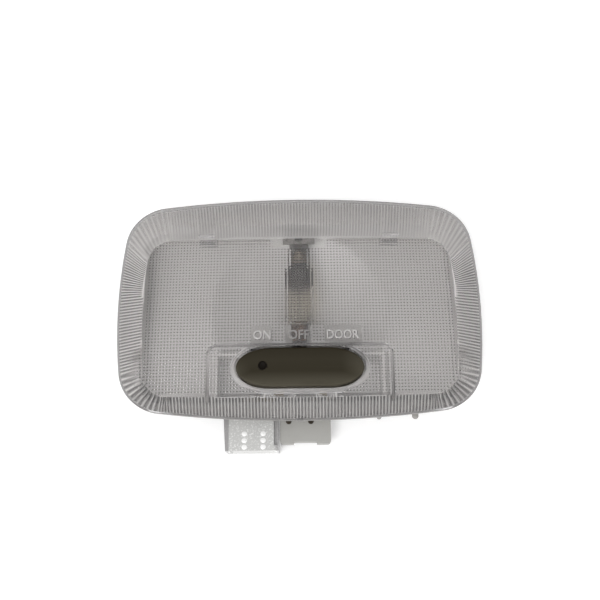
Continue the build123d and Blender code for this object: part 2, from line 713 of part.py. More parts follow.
def snap_ledge(x):
    """Ledge inside the tub's upper wall that holds one lens hook."""
    nose_top = HOOK_BOTTOM + HOOK_NOSE_HEIGHT
    low = nose_top + LEDGE_GAP
    return block(
        (x - HOOK_WIDTH / 2, x + HOOK_WIDTH / 2),
        (TUB_TOP - LEDGE_REACH, TUB_TOP + HOUSING_WALL / 2),
        (low, low + LEDGE_HEIGHT),
    )


def switch_box(growth, front, bottom, top):
    """Solid in the plan of the switch box, from its front limit, grown by a distance on the other sides."""
    half = BOX_HALF_WIDTH + growth
    return block((-half, half), (front, BOX_TOP_Y + growth), (bottom, top))


def strip_passages():
    """Cutters for the strips that pass through the housing's walls."""
    lower_half = LOWER_CLIP_WIDTH / 2
    strip_z = (BOX_FLOOR, STRIP_TOP)
    blade_half = BLADE_WIDTH / 2
    wall_y = (TUB_FRONT, TUB_BOTTOM)
    strap_half = STRAP_WIDTH / 2
    strap_y = UPPER_TIP_Y + TIP_GAP + UPPER_CLIP_DEPTH
    run_front = STRAP_TURN_Y - RUN_WIDTH / 2
    cutters = slot((-lower_half, lower_half), (BOX_TOP_Y, BOX_TOP_Y + BOX_WALL), strip_z)
    cutters += slot((PAD_X - PAD_WIDTH / 2, PAD_X + PAD_WIDTH / 2), wall_y, strip_z)
    for x in (DOOR_BLADE_X, FEED_BLADE_X):
        cutters += slot((x - blade_half, x + blade_half), wall_y, strip_z)
    feed_x = (FEED_BLADE_X - blade_half, FEED_BLADE_X + blade_half)
    cutters += slot(feed_x, (run_front, run_front + STRIP), (BOX_UNDERSIDE, STRIP_TOP))
    cutters += slot((-strap_half, strap_half), (strap_y - STRIP, strap_y), (FOOT_Z, WING_FLOOR))
    return cutters


def housing():
    """White tub with its flange, reflector bowl, switch box, snap ledges, roof hooks and pegs."""
    flange_edge = rim_outline(SEAT_WIDTH + FLANGE_CLEARANCE)
    flange_bottom = FLANGE_TOP - FLANGE_THICKNESS
    inner = tub_outline(0)
    outer = tub_outline(HOUSING_WALL)
    body = prism(outer, WING_FLOOR - HOUSING_WALL, FLANGE_TOP)
    body += prism(flange_edge, flange_bottom, FLANGE_TOP)
    body += bowl(HOUSING_WALL)
    body -= prism(inner, WING_FLOOR, FLANGE_TOP)
    body -= bowl(0)
    body += switch_box(BOX_WALL, TUB_FRONT, BOX_UNDERSIDE, BOX_RIM)
    body -= switch_box(0, TUB_BOTTOM, BOX_FLOOR, FLANGE_TOP)
    for x in (-HOOK_X, HOOK_X):
        body += snap_ledge(x) + roof_hook(x)
    body += peg(LARGE_PEG_X, LARGE_PEG_RADIUS) + peg(SMALL_PEG_X, SMALL_PEG_RADIUS)
    return body - strip_passages() - pry_tab(FLANGE_CLEARANCE)


def bulb_axis(profile):
    """Turn a profile of (radius, y) points round the bulb's axis."""
    face = make_face(Polyline(*profile, close=True))
    return Pos(0, BULB_Y, BULB_Z) * revolve(face, axis=Axis.Y)


def bulb_glass():
    """Hollow glass tube with tapered shoulders, between the two caps."""
    end = BULB_LENGTH / 2 - CAP_TOTAL
    straight = end - BULB_SHOULDER
    bore = BULB_RADIUS - BULB_WALL
    neck_bore = CAP_RADIUS - BULB_WALL
    outside = [(CAP_RADIUS, -end), (BULB_RADIUS, -straight), (BULB_RADIUS, straight), (CAP_RADIUS, end)]
    inside = [(neck_bore, end), (bore, straight), (bore, -straight), (neck_bore, -end)]
    return bulb_axis(outside + inside)


def bulb_cap(side):
    """Metal end cap with a conical tip; side is 1 for the upper end and -1 for the lower."""
    root = BULB_LENGTH / 2 - CAP_TOTAL
    points = [
        (0, root),
        (CAP_RADIUS, root),
        (CAP_RADIUS, root + CAP_LENGTH),
        (CAP_TIP_RADIUS, BULB_LENGTH / 2),
        (0, BULB_LENGTH / 2),
    ]
    return bulb_axis([(radius, side * y) for radius, y in points])


def bulb_filament():
    """Filament between two thin leads."""
    end = BULB_LENGTH / 2 - CAP_TOTAL
    half = FILAMENT_LENGTH / 2
    coil = barrel(FILAMENT_RADIUS, BULB_Y - half, BULB_Y + half, 0, BULB_Z)
    return coil + barrel(LEAD_RADIUS, BULB_Y - end, BULB_Y + end, 0, BULB_Z)


def connector_shroud():
    """Drafted connector block, open to the front, with slots for the three blades in its back wall."""
    front_left = SHROUD_LEFT + SHROUD_DRAFT
    plan = Polyline(
        (SHROUD_LEFT, TUB_FRONT),
        (SHROUD_RIGHT, TUB_FRONT),
        (SHROUD_RIGHT, SHROUD_FRONT),
        (front_left, SHROUD_FRONT),
        close=True,
    )
    body = prism(make_face(plan), FOOT_Z, SHROUD_TOP)
    socket_y = (SHROUD_FRONT, TUB_FRONT - SHROUD_BACK)
    socket_x = (front_left + SHROUD_WALL, SHROUD_RIGHT - SHROUD_WALL)
    body -= block(socket_x, socket_y, (FOOT_Z + SHROUD_WALL, SHROUD_TOP - SHROUD_WALL))
    strip_z = (BOX_FLOOR, STRIP_TOP)
    for x in (FEED_BLADE_X, DOOR_BLADE_X, ON_BLADE_X):
        body -= slot((x - BLADE_WIDTH / 2, x + BLADE_WIDTH / 2), (socket_y[1], TUB_FRONT), strip_z)
    run_back = ON_RUN_Y + RUN_WIDTH / 2
    return body - slot((ON_BLADE_X, SHROUD_RIGHT), (run_back - RUN_WIDTH, run_back), strip_z)


def rivet_holes():
    """Cutters for the two rivets."""
    hole = Circle(RIVET_SHANK + RIVET_CLEARANCE)
    cutter = prism(hole, BLOCK_BOTTOM, BLOCK_TOP)
    return Pos(RIVET_LEFT_X, RIVET_Y, 0) * cutter + Pos(RIVET_RIGHT_X, RIVET_Y, 0) * cutter


def terminal_block():
    """Plain block over the ON terminal's plate, with a shallow notch in its front edge."""
    middle = (BLOCK_LEFT + BLOCK_RIGHT) / 2
    body = block((BLOCK_LEFT, BLOCK_RIGHT), (BLOCK_FRONT, TUB_FRONT), (BLOCK_BOTTOM, BLOCK_TOP))
    body = fillet(body.edges().filter_by(Axis.Z).sort_by(Axis.Y)[:2], BLOCK_CORNER)
    notch = block(
        (middle - BLOCK_NOTCH_LENGTH / 2, middle + BLOCK_NOTCH_LENGTH / 2),
        (BLOCK_FRONT, BLOCK_FRONT + BLOCK_NOTCH_DEPTH),
        (BLOCK_BOTTOM, BLOCK_TOP),
    )
    plate_y = (ON_PLATE_FRONT, TUB_FRONT)
    passage = slot((BLOCK_LEFT, PAD_X + PAD_WIDTH / 2), plate_y, (BOX_FLOOR, STRIP_TOP))
    return body - notch - passage - rivet_holes()


def terminal_rivets():
    """Two rivets with domed heads."""
    shank = prism(Circle(RIVET_SHANK), BLOCK_BOTTOM, BLOCK_TOP)
    head = prism(Circle(RIVET_HEAD), BLOCK_TOP, BLOCK_TOP + RIVET_HEAD_HEIGHT)
    head = fillet(head.edges().sort_by(Axis.Z)[-1], RIVET_HEAD_HEIGHT / 2)
    foot = prism(Circle(RIVET_HEAD), BLOCK_BOTTOM - RIVET_HEAD_HEIGHT, BLOCK_BOTTOM)
    rivet = shank + head + foot
    return Compound(children=[Pos(x, RIVET_Y, 0) * rivet for x in (RIVET_LEFT_X, RIVET_RIGHT_X)])


def build():
    """Make every piece and write one file for each."""
    os.makedirs("parts", exist_ok=True)
    pieces = {
        "lens": lens(),
        "rocker": rocker(),
        "contact_plunger": contact_plunger(),
        "plunger_spring": plunger_spring(),
        "rocking_contact": rocking_contact(),
        "switch_carrier": switch_carrier(),
        "on_terminal": on_terminal(),
        "door_terminal": door_terminal(),
        "lower_bulb_contact": lower_bulb_contact(),
        "feed_strap": feed_strap(),
        "bulb_glass": bulb_glass(),
        "bulb_cap_upper": bulb_cap(1),
        "bulb_cap_lower": bulb_cap(-1),
        "bulb_filament": bulb_filament(),
        "housing": housing(),
        "connector_shroud": connector_shroud(),
        "terminal_block": terminal_block(),
        "terminal_rivets": terminal_rivets(),
    }
    for name, shape in pieces.items():
        export_step(shape, f"parts/{name}.step")


build()
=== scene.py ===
"""Car dome light: moulded clear lens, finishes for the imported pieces, and a plain studio."""
from __future__ import annotations

import logging
import math
from dataclasses import dataclass
from enum import Enum
from typing import Any, Callable

import bmesh
import bpy
from bpy.types import Material, NodeSocket, NodeTree, Object
from mathutils import Matrix, Vector

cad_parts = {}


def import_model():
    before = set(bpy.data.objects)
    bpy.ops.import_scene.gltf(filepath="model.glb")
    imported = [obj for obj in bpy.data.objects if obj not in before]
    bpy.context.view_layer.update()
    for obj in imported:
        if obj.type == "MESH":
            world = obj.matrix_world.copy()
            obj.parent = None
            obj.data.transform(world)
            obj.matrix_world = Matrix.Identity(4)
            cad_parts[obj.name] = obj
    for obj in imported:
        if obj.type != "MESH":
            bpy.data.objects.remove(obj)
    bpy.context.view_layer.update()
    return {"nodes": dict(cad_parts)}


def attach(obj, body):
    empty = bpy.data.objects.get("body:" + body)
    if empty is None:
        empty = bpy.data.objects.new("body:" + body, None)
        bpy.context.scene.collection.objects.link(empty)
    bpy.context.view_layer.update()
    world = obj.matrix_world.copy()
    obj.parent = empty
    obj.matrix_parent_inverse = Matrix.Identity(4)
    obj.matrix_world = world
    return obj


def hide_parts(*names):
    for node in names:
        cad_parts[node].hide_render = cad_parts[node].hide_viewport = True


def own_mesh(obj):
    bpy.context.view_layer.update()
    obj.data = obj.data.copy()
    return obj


MM = 0.001
PILLOW_PITCH = 1.265
SWITCH_Y = -28.2
CUT_MARGIN = 1.0
Colour = tuple[float, float, float, float]
Place = tuple[float, float, float]
Span = tuple[float, float]
WHITE: Colour = (1.0, 1.0, 1.0, 1.0)
log = logging.getLogger("dome_light")


class Body(Enum):
    """Bodies that the finished pieces ride on."""

    LAMP = "lamp"
    ROCKER = "rocker"


def paint(red: int, green: int, blue: int) -> Colour:
    """Turn a display colour into the linear colour that shaders use.

    Args:
        red: Red, 0 to 255.
        green: Green, 0 to 255.
        blue: Blue, 0 to 255.

    Returns:
        The linear colour with full alpha.
    """

    def linear(level: int) -> float:
        """Undo the display's curve for one channel."""
        share = level / 255
        return share / 12.92 if share <= 0.04045 else ((share + 0.055) / 1.055) ** 2.4

    return (linear(red), linear(green), linear(blue), 1.0)


def arithmetic(operation: str, swapped: bool = False) -> Callable[..., Wire]:
    """Make one of a wire's operations.

    Args:
        operation: The Math node's operation.
        swapped: Whether the wire is the second value.

    Returns:
        The method.
    """

    def method(self: Wire, other: Any = 0.0) -> Wire:
        """Add one Math node."""
        first, second = (other, self) if swapped else (self, other)
        return self.shader.node("ShaderNodeMath", {"operation": operation}, {0: first, 1: second})

    return method


class Wire:
    """A shader socket that takes part in arithmetic."""

    __add__ = __radd__ = arithmetic("ADD")
    __sub__ = arithmetic("SUBTRACT")
    __rsub__ = arithmetic("SUBTRACT", swapped=True)
    __mul__ = __rmul__ = arithmetic("MULTIPLY")
    __truediv__ = arithmetic("DIVIDE")
    __rtruediv__ = arithmetic("DIVIDE", swapped=True)
    larger = arithmetic("MAXIMUM")
    smaller = arithmetic("MINIMUM")
    fraction = arithmetic("FRACT")

    def __init__(self, shader: Shader, socket: NodeSocket) -> None:
        """Keep the socket and the shader that it belongs to."""
        self.shader = shader
        self.socket = socket


class Shader:
    """Node tree under construction, with one method that makes every node."""

    def __init__(self, tree: NodeTree) -> None:
        """Empty the tree."""
        self.tree = tree
        tree.nodes.clear()

    @classmethod
    def material(cls, name: str) -> tuple[Material, Shader]:
        """Start a new material.

        Args:
            name: The material's name.

        Returns:
            The material and its empty shader.
        """
        material = bpy.data.materials.new(name)
        material.use_nodes = True
        return material, cls(material.node_tree)

    def node(self, kind: str, settings: dict[str, Any] | None = None,
             inputs: dict[Any, Any] | None = None, output: int | str = 0) -> Wire:
        """Add a node.

        Args:
            kind: The node's type.
            settings: Properties that are set first.
            inputs: Values or wires by socket name or number.
            output: Name or number of the socket that is returned.

        Returns:
            The chosen output.
        """
        node = self.tree.nodes.new(kind)
        for key, value in (settings or {}).items():
            setattr(node, key, value)
        for key, value in (inputs or {}).items():
            if isinstance(value, Wire):
                self.tree.links.new(value.socket, node.inputs[key])
            else:
                node.inputs[key].default_value = value
        return Wire(self, node.outputs[output] if len(node.outputs) else None)

    def place(self) -> Wire:
        """Place on the object.

        Returns:
            Object coordinates in millimetres.
        """
        metres = self.node("ShaderNodeTexCoord", output="Object")
        return self.node(
            "ShaderNodeVectorMath", {"operation": "SCALE"}, {0: metres, "Scale": 1 / MM})

    def axes(self) -> tuple[Wire, Wire, Wire]:
        """Object coordinates in millimetres as three values."""
        x, y, z = self.node("ShaderNodeSeparateXYZ", None, {0: self.place()}).socket.node.outputs
        return Wire(self, x), Wire(self, y), Wire(self, z)

    def attribute(self, name: str) -> Wire:
        """Value of one of the mesh's own attributes."""
        return self.node("ShaderNodeAttribute", {"attribute_name": name}, output="Fac")

    def noise(self, grain: float, detail: float = 3.0, stretch: Place | None = None) -> Wire:
        """Noise of a given grain.

        Args:
            grain: Size of the noise's features in millimetres.
            detail: Layers of finer noise.
            stretch: Scale of the pattern along each axis.

        Returns:
            A value from 0 to 1.
        """
        place = self.place()
        if stretch:
            place = self.node(
                "ShaderNodeVectorMath", {"operation": "MULTIPLY"}, {0: place, 1: stretch})
        return self.node(
            "ShaderNodeTexNoise", None, {"Vector": place, "Scale": 1 / grain, "Detail": detail})

    def step(self, value: Wire, limits: Span) -> Wire:
        """Smooth step.

        Args:
            value: The value to look at.
            limits: Where the step starts and ends.

        Returns:
            0 before the first limit and 1 after the second.
        """
        low, high = limits
        return self.node("ShaderNodeMapRange", {"interpolation_type": "SMOOTHSTEP"},
                         {"Value": value, "From Min": low, "From Max": high})

    def blend(self, share: Wire, first: Any, second: Any) -> Wire:
        """Mix of two colours."""
        return self.node(
            "ShaderNodeMix", {"data_type": "RGBA"}, {0: share, 6: first, 7: second}, output=2)

    def bump(self, height: Wire, depth: float) -> Wire:
        """Normal from a height of 0 to 1, with the relief's depth in millimetres."""
        return self.node(
            "ShaderNodeBump", None, {"Height": height, "Distance": depth * MM, "Strength": 1.0})

    def principled(self, **values: Any) -> Wire:
        """Principled surface; names are the sockets' names with underscores."""
        inputs = {key.replace("_", " "): value for key, value in values.items()}
        return self.node("ShaderNodeBsdfPrincipled", None, inputs)

    def glass(self, colour: Wire, roughness: Wire, refraction: float) -> Wire:
        """Clear surface."""
        return self.principled(
            Base_Color=colour, Roughness=roughness, IOR=refraction, Transmission_Weight=1.0)

    def mix(self, share: Wire, first: Wire, second: Wire) -> Wire:
        """Mix of two surfaces."""
        return self.node("ShaderNodeMixShader", None, {0: share, 1: first, 2: second})

    def surface(self, shader: Wire) -> None:
        """Connect the finished surface to the output."""
        self.node("ShaderNodeOutputMaterial", None, {"Surface": shader})

    def clear_surface(self, shader: Wire, tint: Colour) -> None:
        """Connect a clear surface to the output, with a shadow of its tint alone.

        Args:
            shader: The finished surface.
            tint: Colour of the light that passes.
        """
        passing = self.node("ShaderNodeBsdfTransparent", None, {"Color": tint})
        shadow = self.node("ShaderNodeLightPath", output="Is Shadow Ray")
        self.surface(self.mix(shadow, shader, passing))


def seen_directly(shader: Shader) -> Wire:
    """Rays from the camera, from gloss and through glass, with no matt surface between.

    Args:
        shader: The shader to add to.

    Returns:
        1 for these rays and 0 for the others.
    """
    path = shader.node("ShaderNodeLightPath").socket.node
    camera, glossy, through, scattered = (
        Wire(shader, path.outputs[name])
        for name in ("Is Camera Ray", "Is Glossy Ray", "Is Transmission Ray", "Diffuse Depth")
    )
    return camera.larger(glossy).larger(through) * (1 - scattered.smaller(1.0))


@dataclass(frozen=True)
class ClearPlastic:
    """Clear moulding, with painted shade that greys its thick rim.

    Three attributes of the mesh drive it: the first lays painted shade in the hollows, grooves
    and letter bevels, "dots" lays painted shade as dark dots at the corners of the pillow grid's
    cells, and "haze" is the share of matt, dulled surface.
    """

    name: str
    tint: Colour
    rim_shade_tint: Colour
    shade_tint: Colour
    haze_colour: Colour
    rim_heights: Span = (1.6, 3.6)
    pitch: float = PILLOW_PITCH
    dot_reach: Span = (0.4, 0.34)
    dot_edge: Span = (0.0, 0.9)
    roughness: float = 0.02
    refraction: float = 1.49
    wear_grain: float = 6.0
    wear_limits: Span = (0.55, 0.8)
    wear_roughness: float = 0.03
    drift_grain: float = 16.0
    drift_share: float = 0.12
    haze_roughness: float = 0.6

    def dots(self, shader: Shader, x: Wire, y: Wire) -> Wire:
        """Pattern of soft dots, with one at every corner of the pillow grid's cells.

        Args:
            shader: The shader to add to.
            x: Object coordinate in millimetres.
            y: Object coordinate in millimetres.

        Returns:
            A value from 0 to 1.
        """
        across = ((x / self.pitch).fraction() - 0.5) * (self.pitch / self.dot_reach[0])
        along = ((y / self.pitch).fraction() - 0.5) * (self.pitch / self.dot_reach[1])
        return shader.step(1.0 - (across * across + along * along), self.dot_edge)

    def make(self) -> Material:
        """Build the material.

        Returns:
            The material.
        """
        material, shader = Shader.material(self.name)
        x, y, height = shader.axes()
        # Painted shade: the grid's dots and the marked hollows, grooves and bevels darken the clear
        # colour toward the shade tint.
        dots = shader.attribute("dots") * self.dots(shader, x, y)
        painted_shade = shader.attribute("painted_shade").larger(dots)
        # Painted shade: the rim, below the given heights, is tinted grey.
        moulded = shader.blend(shader.step(height, self.rim_heights), self.rim_shade_tint, self.tint)
        wear = shader.step(shader.noise(self.wear_grain, detail=4.0), self.wear_limits)
        darkened = shader.blend(painted_shade, moulded, self.shade_tint)
        roughness = self.roughness + self.wear_roughness * wear
        clear = shader.glass(darkened, roughness, self.refraction)
        drift = self.drift_share * (shader.noise(self.drift_grain) - 0.5)
        # The matt layer takes the same painted shade, with a random drift of tone.
        matt = shader.principled(
            Base_Color=shader.blend(painted_shade + drift, self.haze_colour, self.shade_tint),
            Roughness=self.haze_roughness,
        )
        shader.clear_surface(shader.mix(shader.attribute("haze"), clear, matt), self.tint)
        return material


@dataclass(frozen=True)
class ScorchedGlass:
    """Thin bulb glass, smoked by use, black at its upper end and brown at its lower end.

    Each scorch grows over a span of distances from the bulb's middle, in millimetres.
    """

    name: str
    tint: Colour
    smoked_tint: Colour
    upper_scorch: Colour
    lower_scorch: Colour
    upper_reach: Span = (8.0, 11.5)
    lower_reach: Span = (6.5, 10.5)
    lower_share: float = 0.85
    scorch_grain: float = 3.0
    scorch_sway: float = 5.0
    smoke_grain: float = 2.0
    smoke_roughness: float = 0.1
    film_roughness: float = 0.6
    roughness: float = 0.05
    refraction: float = 1.45

    def make(self) -> Material:
        """Build the material.

        Returns:
            The material.
        """
        material, shader = Shader.material(self.name)
        sway = self.scorch_sway * (shader.noise(self.scorch_grain) - 0.5)
        along = shader.axes()[1] + sway
        upper = shader.step(along, self.upper_reach)
        lower = shader.step(0.0 - along, self.lower_reach) * self.lower_share
        smoke = shader.noise(self.smoke_grain)
        smoked = shader.blend(smoke, self.tint, self.smoked_tint)
        roughness = self.roughness + self.smoke_roughness * smoke
        glass = shader.glass(smoked, roughness, self.refraction)
        film = shader.principled(
            Base_Color=shader.blend(upper, self.lower_scorch, self.upper_scorch),
            Roughness=self.film_roughness,
        )
        shader.clear_surface(shader.mix(upper.larger(lower), glass, film), self.tint)
        return material


@dataclass(frozen=True)
class MouldedPlastic:
    """Opaque moulded plastic with fine grain, slight colour drift and dirt.

    Two attributes of the mesh drive it: "edge" lays the second colour over the rest as painted
    shade, and the other lays the mark's colour, where the finish has one, as painted light on some
    parts and painted shade on others.
    """

    name: str
    colour: Colour
    dirt_and_shade_colour: Colour
    dirt_share: float = 0.3
    roughness: float = 0.45
    grain: float = 0.35
    relief: float = 0.012
    gloss: float = 0.5
    # Share of painted glints, laid in the mark's colour.
    sparkle: float = 0.0
    # Colour laid where the mesh marks it: painted light on some parts, painted shade on others.
    mark: Colour | None = None
    mark_limits: Span = (0.25, 0.4)
    glint_grain: float = 0.8
    glint_limits: Span = (0.57, 0.65)
    drift_grain: float = 14.0
    drift_limits: Span = (0.45, 0.8)
    speck_grain: float = 2.2
    speck_limits: Span = (0.56, 0.78)
    speck_share: float = 0.4
    grain_roughness: float = 0.12

    def make(self) -> Material:
        """Build the material.

        Returns:
            The material.
        """
        material, shader = Shader.material(self.name)
        drift = shader.step(shader.noise(self.drift_grain), self.drift_limits)
        specks = shader.step(shader.noise(self.speck_grain, detail=5.0), self.speck_limits)
        darkened = drift * (1 - self.speck_share) + specks * self.speck_share
        # Painted shade from the edge attribute, over real specks and drift of grime.
        edge = shader.attribute("edge")
        dirt_and_shade = (darkened * self.dirt_share).larger(edge)
        colour = shader.blend(dirt_and_shade, self.colour, self.dirt_and_shade_colour)
        grain = shader.noise(self.grain)
        if self.mark:
            # Painted glints, and the mark's colour where the mesh asks for painted light and shade.
            fine = shader.noise(self.glint_grain * self.grain, detail=1.0)
            glints = shader.step(fine, self.glint_limits) * (1 - edge) * self.sparkle
            light_and_shade = shader.attribute("light_and_shade") * shader.step(grain, self.mark_limits)
            colour = shader.blend(light_and_shade.larger(glints), colour, self.mark)
        shader.surface(shader.principled(
            Base_Color=colour,
            Roughness=self.roughness + self.grain_roughness * (grain - 0.5),
            Specular_IOR_Level=self.gloss,
            Normal=shader.bump(grain, self.relief),
        ))
        return material


@dataclass(frozen=True)
class SheetMetal:
    """Stamped or drawn metal with fine scratches and dull patches."""

    name: str
    colour: Colour
    dull: Colour
    roughness: float = 0.32
    scratch_grain: float = 0.5
    scratch_stretch: Place = (0.12, 1.0, 1.0)
    scratch_roughness: float = 0.1
    scratch_depth: float = 0.004
    patch_grain: float = 3.0
    patch_limits: Span = (0.45, 0.75)
    patch_roughness: float = 0.25
    detail: float = 4.0

    def make(self) -> Material:
        """Build the material.

        Returns:
            The material.
        """
        material, shader = Shader.material(self.name)
        scratches = shader.noise(self.scratch_grain, self.detail, self.scratch_stretch)
        patches = shader.step(shader.noise(self.patch_grain, self.detail), self.patch_limits)
        worn = self.roughness + self.patch_roughness * patches
        shader.surface(shader.principled(
            Base_Color=shader.blend(patches, self.colour, self.dull),
            Metallic=1.0,
            Roughness=worn + self.scratch_roughness * (scratches - 0.5),
            Normal=shader.bump(scratches, self.scratch_depth),
        ))
        return material


class Bench:
    """Modelling moves made with Blender's own operators."""

    @staticmethod
    def clear() -> None:
        """Leave edit mode and deselect everything."""
        if bpy.context.object and bpy.context.object.mode != "OBJECT":
            bpy.ops.object.mode_set(mode="OBJECT")
        bpy.ops.object.select_all(action="DESELECT")

    @staticmethod
    def take(obj: Object) -> None:
        """Make one object the only selected and active one.

        Args:
            obj: The object to take.
        """
        Bench.clear()
        bpy.context.view_layer.objects.active = obj
        obj.select_set(True)

    @staticmethod
    def edit(obj: Object) -> None:
        """Enter an object's edit mode with all of it selected.

        Args:
            obj: The object to work on.
        """
        Bench.take(obj)
        bpy.ops.object.mode_set(mode="EDIT")
        bpy.ops.mesh.select_all(action="SELECT")

    @staticmethod
    def named(name: str) -> Object:
        """Name the object that was just added.

        Args:
            name: Its name and its mesh's.

        Returns:
            The object.
        """
        obj = bpy.context.object
        obj.name = obj.data.name = name
        return obj

    @staticmethod
    def pick(obj: Object, test: Callable[[Vector, Vector], bool]) -> None:
        """Select, in edit mode, the faces that pass a test.

        Args:
            obj: The object to work on.
            test: Takes a face's centre and its normal.
        """
        Bench.edit(obj)
        bpy.ops.mesh.select_mode(type="FACE")
        bpy.ops.mesh.select_all(action="DESELECT")
        mesh = bmesh.from_edit_mesh(obj.data)
        for face in mesh.faces:
            face.select_set(test(face.calc_center_median(), face.normal))
        bmesh.update_edit_mesh(obj.data)

    @staticmethod
    def modify(obj: Object, kind: str, **settings: Any) -> None:
        """Add a modifier and apply it.

        Args:
            obj: The object to work on.
            kind: The modifier's type.
            **settings: Its properties.
        """
        Bench.take(obj)
        modifier = obj.modifiers.new(kind.lower(), kind)
        for key, value in settings.items():
            setattr(modifier, key, value)
        bpy.ops.object.modifier_apply(modifier=modifier.name)

    @staticmethod
    def weld(obj: Object, distance: float = 1e-6) -> None:
        """Merge an object's doubled points and point its faces outwards.

        Args:
            obj: The object to work on.
            distance: Distance up to which points are merged.
        """
        Bench.edit(obj)
        bpy.ops.mesh.remove_doubles(threshold=distance)
        bpy.ops.mesh.normals_make_consistent(inside=False)
        Bench.clear()

    @staticmethod
    def unite(obj: Object, other: Object, operation: str = "UNION") -> None:
        """Join another closed shape to an object, or cut it out, and remove the other."""
        Bench.modify(obj, "BOOLEAN", operation=operation, solver="MANIFOLD", object=other)
        bpy.data.objects.remove(other)

    @staticmethod
    def carve(obj: Object, other: Object) -> None:
        """Cut another closed shape out of an object and remove the other."""
        Bench.unite(obj, other, "DIFFERENCE")

    @staticmethod
    def settle(obj: Object) -> None:
        """Bring a shape drawn in millimetres to metres, with its place in its mesh.

        Args:
            obj: The object to work on.
        """
        Bench.take(obj)
        obj.location *= MM
        obj.scale *= MM
        bpy.ops.object.transform_apply()

    @staticmethod
    def copy_of(node: Object, name: str) -> Object:
        """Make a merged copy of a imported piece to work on.

        Args:
            node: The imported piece.
            name: The copy's name.

        Returns:
            The copy, at the origin.
        """
        obj = node.copy()
        obj.data = node.data.copy()
        obj.parent = None
        obj.matrix_world = Matrix()
        bpy.context.scene.collection.objects.link(obj)
        obj.name = obj.data.name = name
        Bench.weld(obj)
        return obj

    @staticmethod
    def dress(obj: Object, material: Material) -> None:
        """Give an object one material."""
        obj.data.materials.clear()
        obj.data.materials.append(material)

    @staticmethod
    def fit(obj: Object, node: str, body: Body, slot: str, material: Material) -> None:
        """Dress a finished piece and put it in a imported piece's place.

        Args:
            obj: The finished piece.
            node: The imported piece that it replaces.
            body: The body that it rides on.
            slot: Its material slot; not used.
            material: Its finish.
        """
        Bench.dress(obj, material)
        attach(obj, body.value)
        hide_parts(node)
        log.info("modelled %s", obj.name)

    @staticmethod
    def split(obj: Object, x: float) -> None:
        """Cut an object's faces along an upright plane, and keep both sides.

        Args:
            obj: The object to work on.
            x: The plane's place in millimetres.
        """
        Bench.edit(obj)
        bpy.ops.mesh.bisect(plane_co=(x * MM, 0, 0), plane_no=(1, 0, 0), threshold=1e-7)
        Bench.clear()

    @staticmethod
    def mark(obj: Object, name: str, level: Callable[[Vector], float]) -> None:
        """Note a level at each of an object's points in an attribute.

        Args:
            obj: The object to work on.
            name: The attribute's name.
            level: Takes a point in millimetres.
        """
        notes = obj.data.attributes.new(name, "FLOAT", "POINT")
        for vertex, note in zip(obj.data.vertices, notes.data):
            note.value = level(vertex.co / MM)

    @staticmethod
    def smooth(obj: Object, degrees: float) -> None:
        """Shade smooth up to an angle, with no normals left from before.

        Args:
            obj: The object to work on.
            degrees: Angle between faces up to which their edge is soft.
        """
        Bench.take(obj)
        bpy.ops.mesh.customdata_custom_splitnormals_clear()
        bpy.ops.object.shade_smooth_by_angle(angle=math.radians(degrees))


@dataclass(frozen=True)
class RoundedBox:
    """Upright rectangle with round corners, in millimetres."""

    half_width: float
    top: float
    bottom: float
    corner: float

    def holds(self, x: float, y: float) -> bool:
        """Tell whether a point lies inside.

        Args:
            x: Place across, in millimetres.
            y: Place along, in millimetres.

        Returns:
            Whether it does.
        """
        half_height = (self.top - self.bottom) / 2
        across = abs(x) - (self.half_width - self.corner)
        along = abs(y - (self.top + self.bottom) / 2) - (half_height - self.corner)
        if across > 0 and along > 0:
            return math.hypot(across, along) < self.corner
        return max(across, along) < self.corner


def inside(value: float, limits: Span) -> bool:
    """Tell whether a value lies between two limits."""
    return limits[0] < value < limits[1]


def between(value: float, limits: Span, first: float, second: float) -> float:
    """Go evenly from a first level to a second while a value goes from one limit to the other.

    Args:
        value: The value to look at.
        limits: Where the change starts and ends.
        first: Level before the change.
        second: Level after it.

    Returns:
        The level at the value.
    """
    share = min(1.0, max(0.0, (value - limits[0]) / (limits[1] - limits[0])))
    return first + share * (second - first)


@dataclass(frozen=True)
class Word:
    """A raised word on the lens, with the limits of its letters and of its smooth patch."""

    text: str
    letters_x: Span
    patch_x: Span
    letters_y: Span = (-16.95, -12.85)
    patch_y: Span = (-19.0, -11.0)
    haze: float = 0.55

    def covers(self, x: float, y: float) -> bool:
        """Tell whether a point lies on the smooth patch."""
        return inside(x, self.patch_x) and inside(y, self.patch_y)


WORDS = (
    Word("ON", (-18.6, -11.3), (-19.4, -10.9)),
    Word("OFF", (-4.6, 4.0), (-5.8, 5.0), haze=0.3),
    Word("DOOR", (10.8, 23.9), (9.6, 24.9)),
)


def word_at(x: float, y: float) -> Word | None:
    """Find the word whose smooth patch covers a point."""
    return next((word for word in WORDS if word.covers(x, y)), None)


